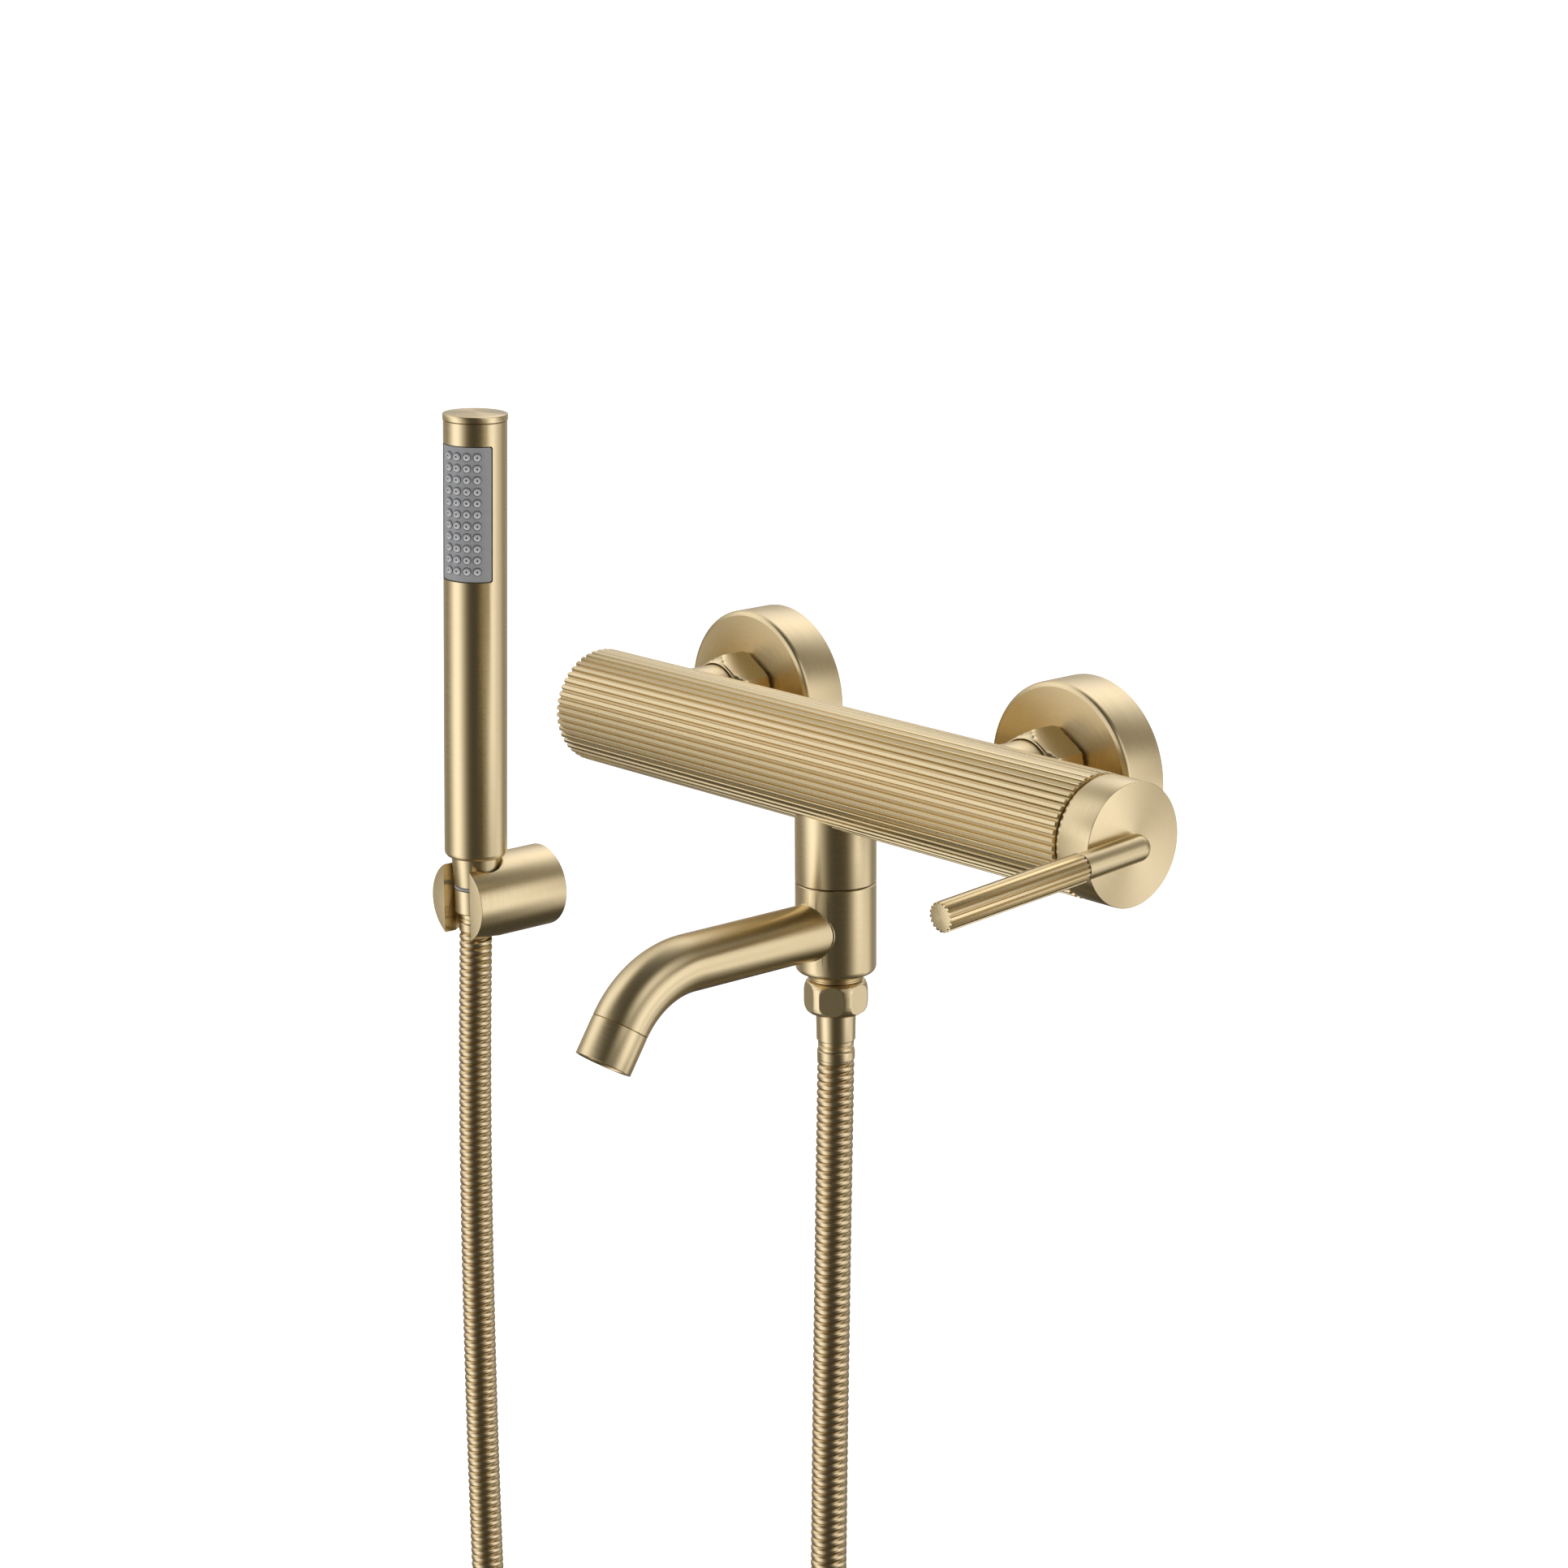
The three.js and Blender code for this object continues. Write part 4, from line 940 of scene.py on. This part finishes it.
def make_light():
    """Lights the pieces with the lobes in LIGHTS, while the camera sees plain white."""
    world = bpy.data.worlds.new("studio")
    scene.world = world
    world.use_nodes = True
    tree = world.node_tree
    direction = tree.nodes.new("ShaderNodeTexCoord").outputs["Generated"]
    height = vector_math(tree, "DOT_PRODUCT", direction, (0, 0, 1))
    level = vector_math(tree, "NORMALIZE", vector_math(tree, "MULTIPLY", direction, (1, 1, 0)))

    def math_node(operation, first, second):
        node = tree.nodes.new("ShaderNodeMath")
        node.operation = operation
        for socket, value in ((0, first), (1, second)):
            if isinstance(value, bpy.types.NodeSocket):
                tree.links.new(value, node.inputs[socket])
            else:
                node.inputs[socket].default_value = value
        return node.outputs[0]

    def rise(start, end):
        """0 below the start elevation and 1 above the end, in degrees, with a smooth step between."""
        heights = [math.sin(math.radians(elevation)) for elevation in (start, end)]
        ramp = remap(tree, height, 0, 1, source=heights)
        ramp.interpolation_type = "SMOOTHSTEP"
        return ramp.outputs["Result"]

    total = None
    for azimuth, sharpness, low, high, brightness in LIGHTS:
        facing = vector_math(tree, "DOT_PRODUCT", level, tuple(level_direction(azimuth)))
        lobe = math_node("POWER", math_node("MAXIMUM", facing, 0.0), sharpness)
        lobe = math_node("MULTIPLY", lobe, rise(low - SOFT_EDGE, low + SOFT_EDGE))
        under_top = math_node("SUBTRACT", 1.0, rise(high - SOFT_EDGE, high + SOFT_EDGE))
        lobe = math_node("MULTIPLY", lobe, under_top)
        lobe = math_node("MULTIPLY", lobe, brightness)
        total = math_node("ADD", lobe, AMBIENT if total is None else total)
    background = tree.nodes["Background"]
    tree.links.new(total, background.inputs["Strength"])
    tone = tree.nodes.new("ShaderNodeValToRGB")
    tone.color_ramp.elements[0].color = WARM_FILL
    tone.color_ramp.elements[1].color = COOL_LIGHT
    tree.links.new(total, tone.inputs["Fac"])
    tree.links.new(tone.outputs["Color"], background.inputs["Color"])
    plain = tree.nodes.new("ShaderNodeBackground")
    plain.inputs["Color"].default_value = (1, 1, 1, 1)
    mix = tree.nodes.new("ShaderNodeMixShader")
    tree.links.new(tree.nodes.new("ShaderNodeLightPath").outputs["Is Camera Ray"], mix.inputs[0])
    tree.links.new(background.outputs[0], mix.inputs[1])
    tree.links.new(plain.outputs[0], mix.inputs[2])
    tree.links.new(mix.outputs[0], tree.nodes["World Output"].inputs["Surface"])


make_floor()
make_light()
scene.view_settings.view_transform = "Standard"
scene.view_settings.look = "None"
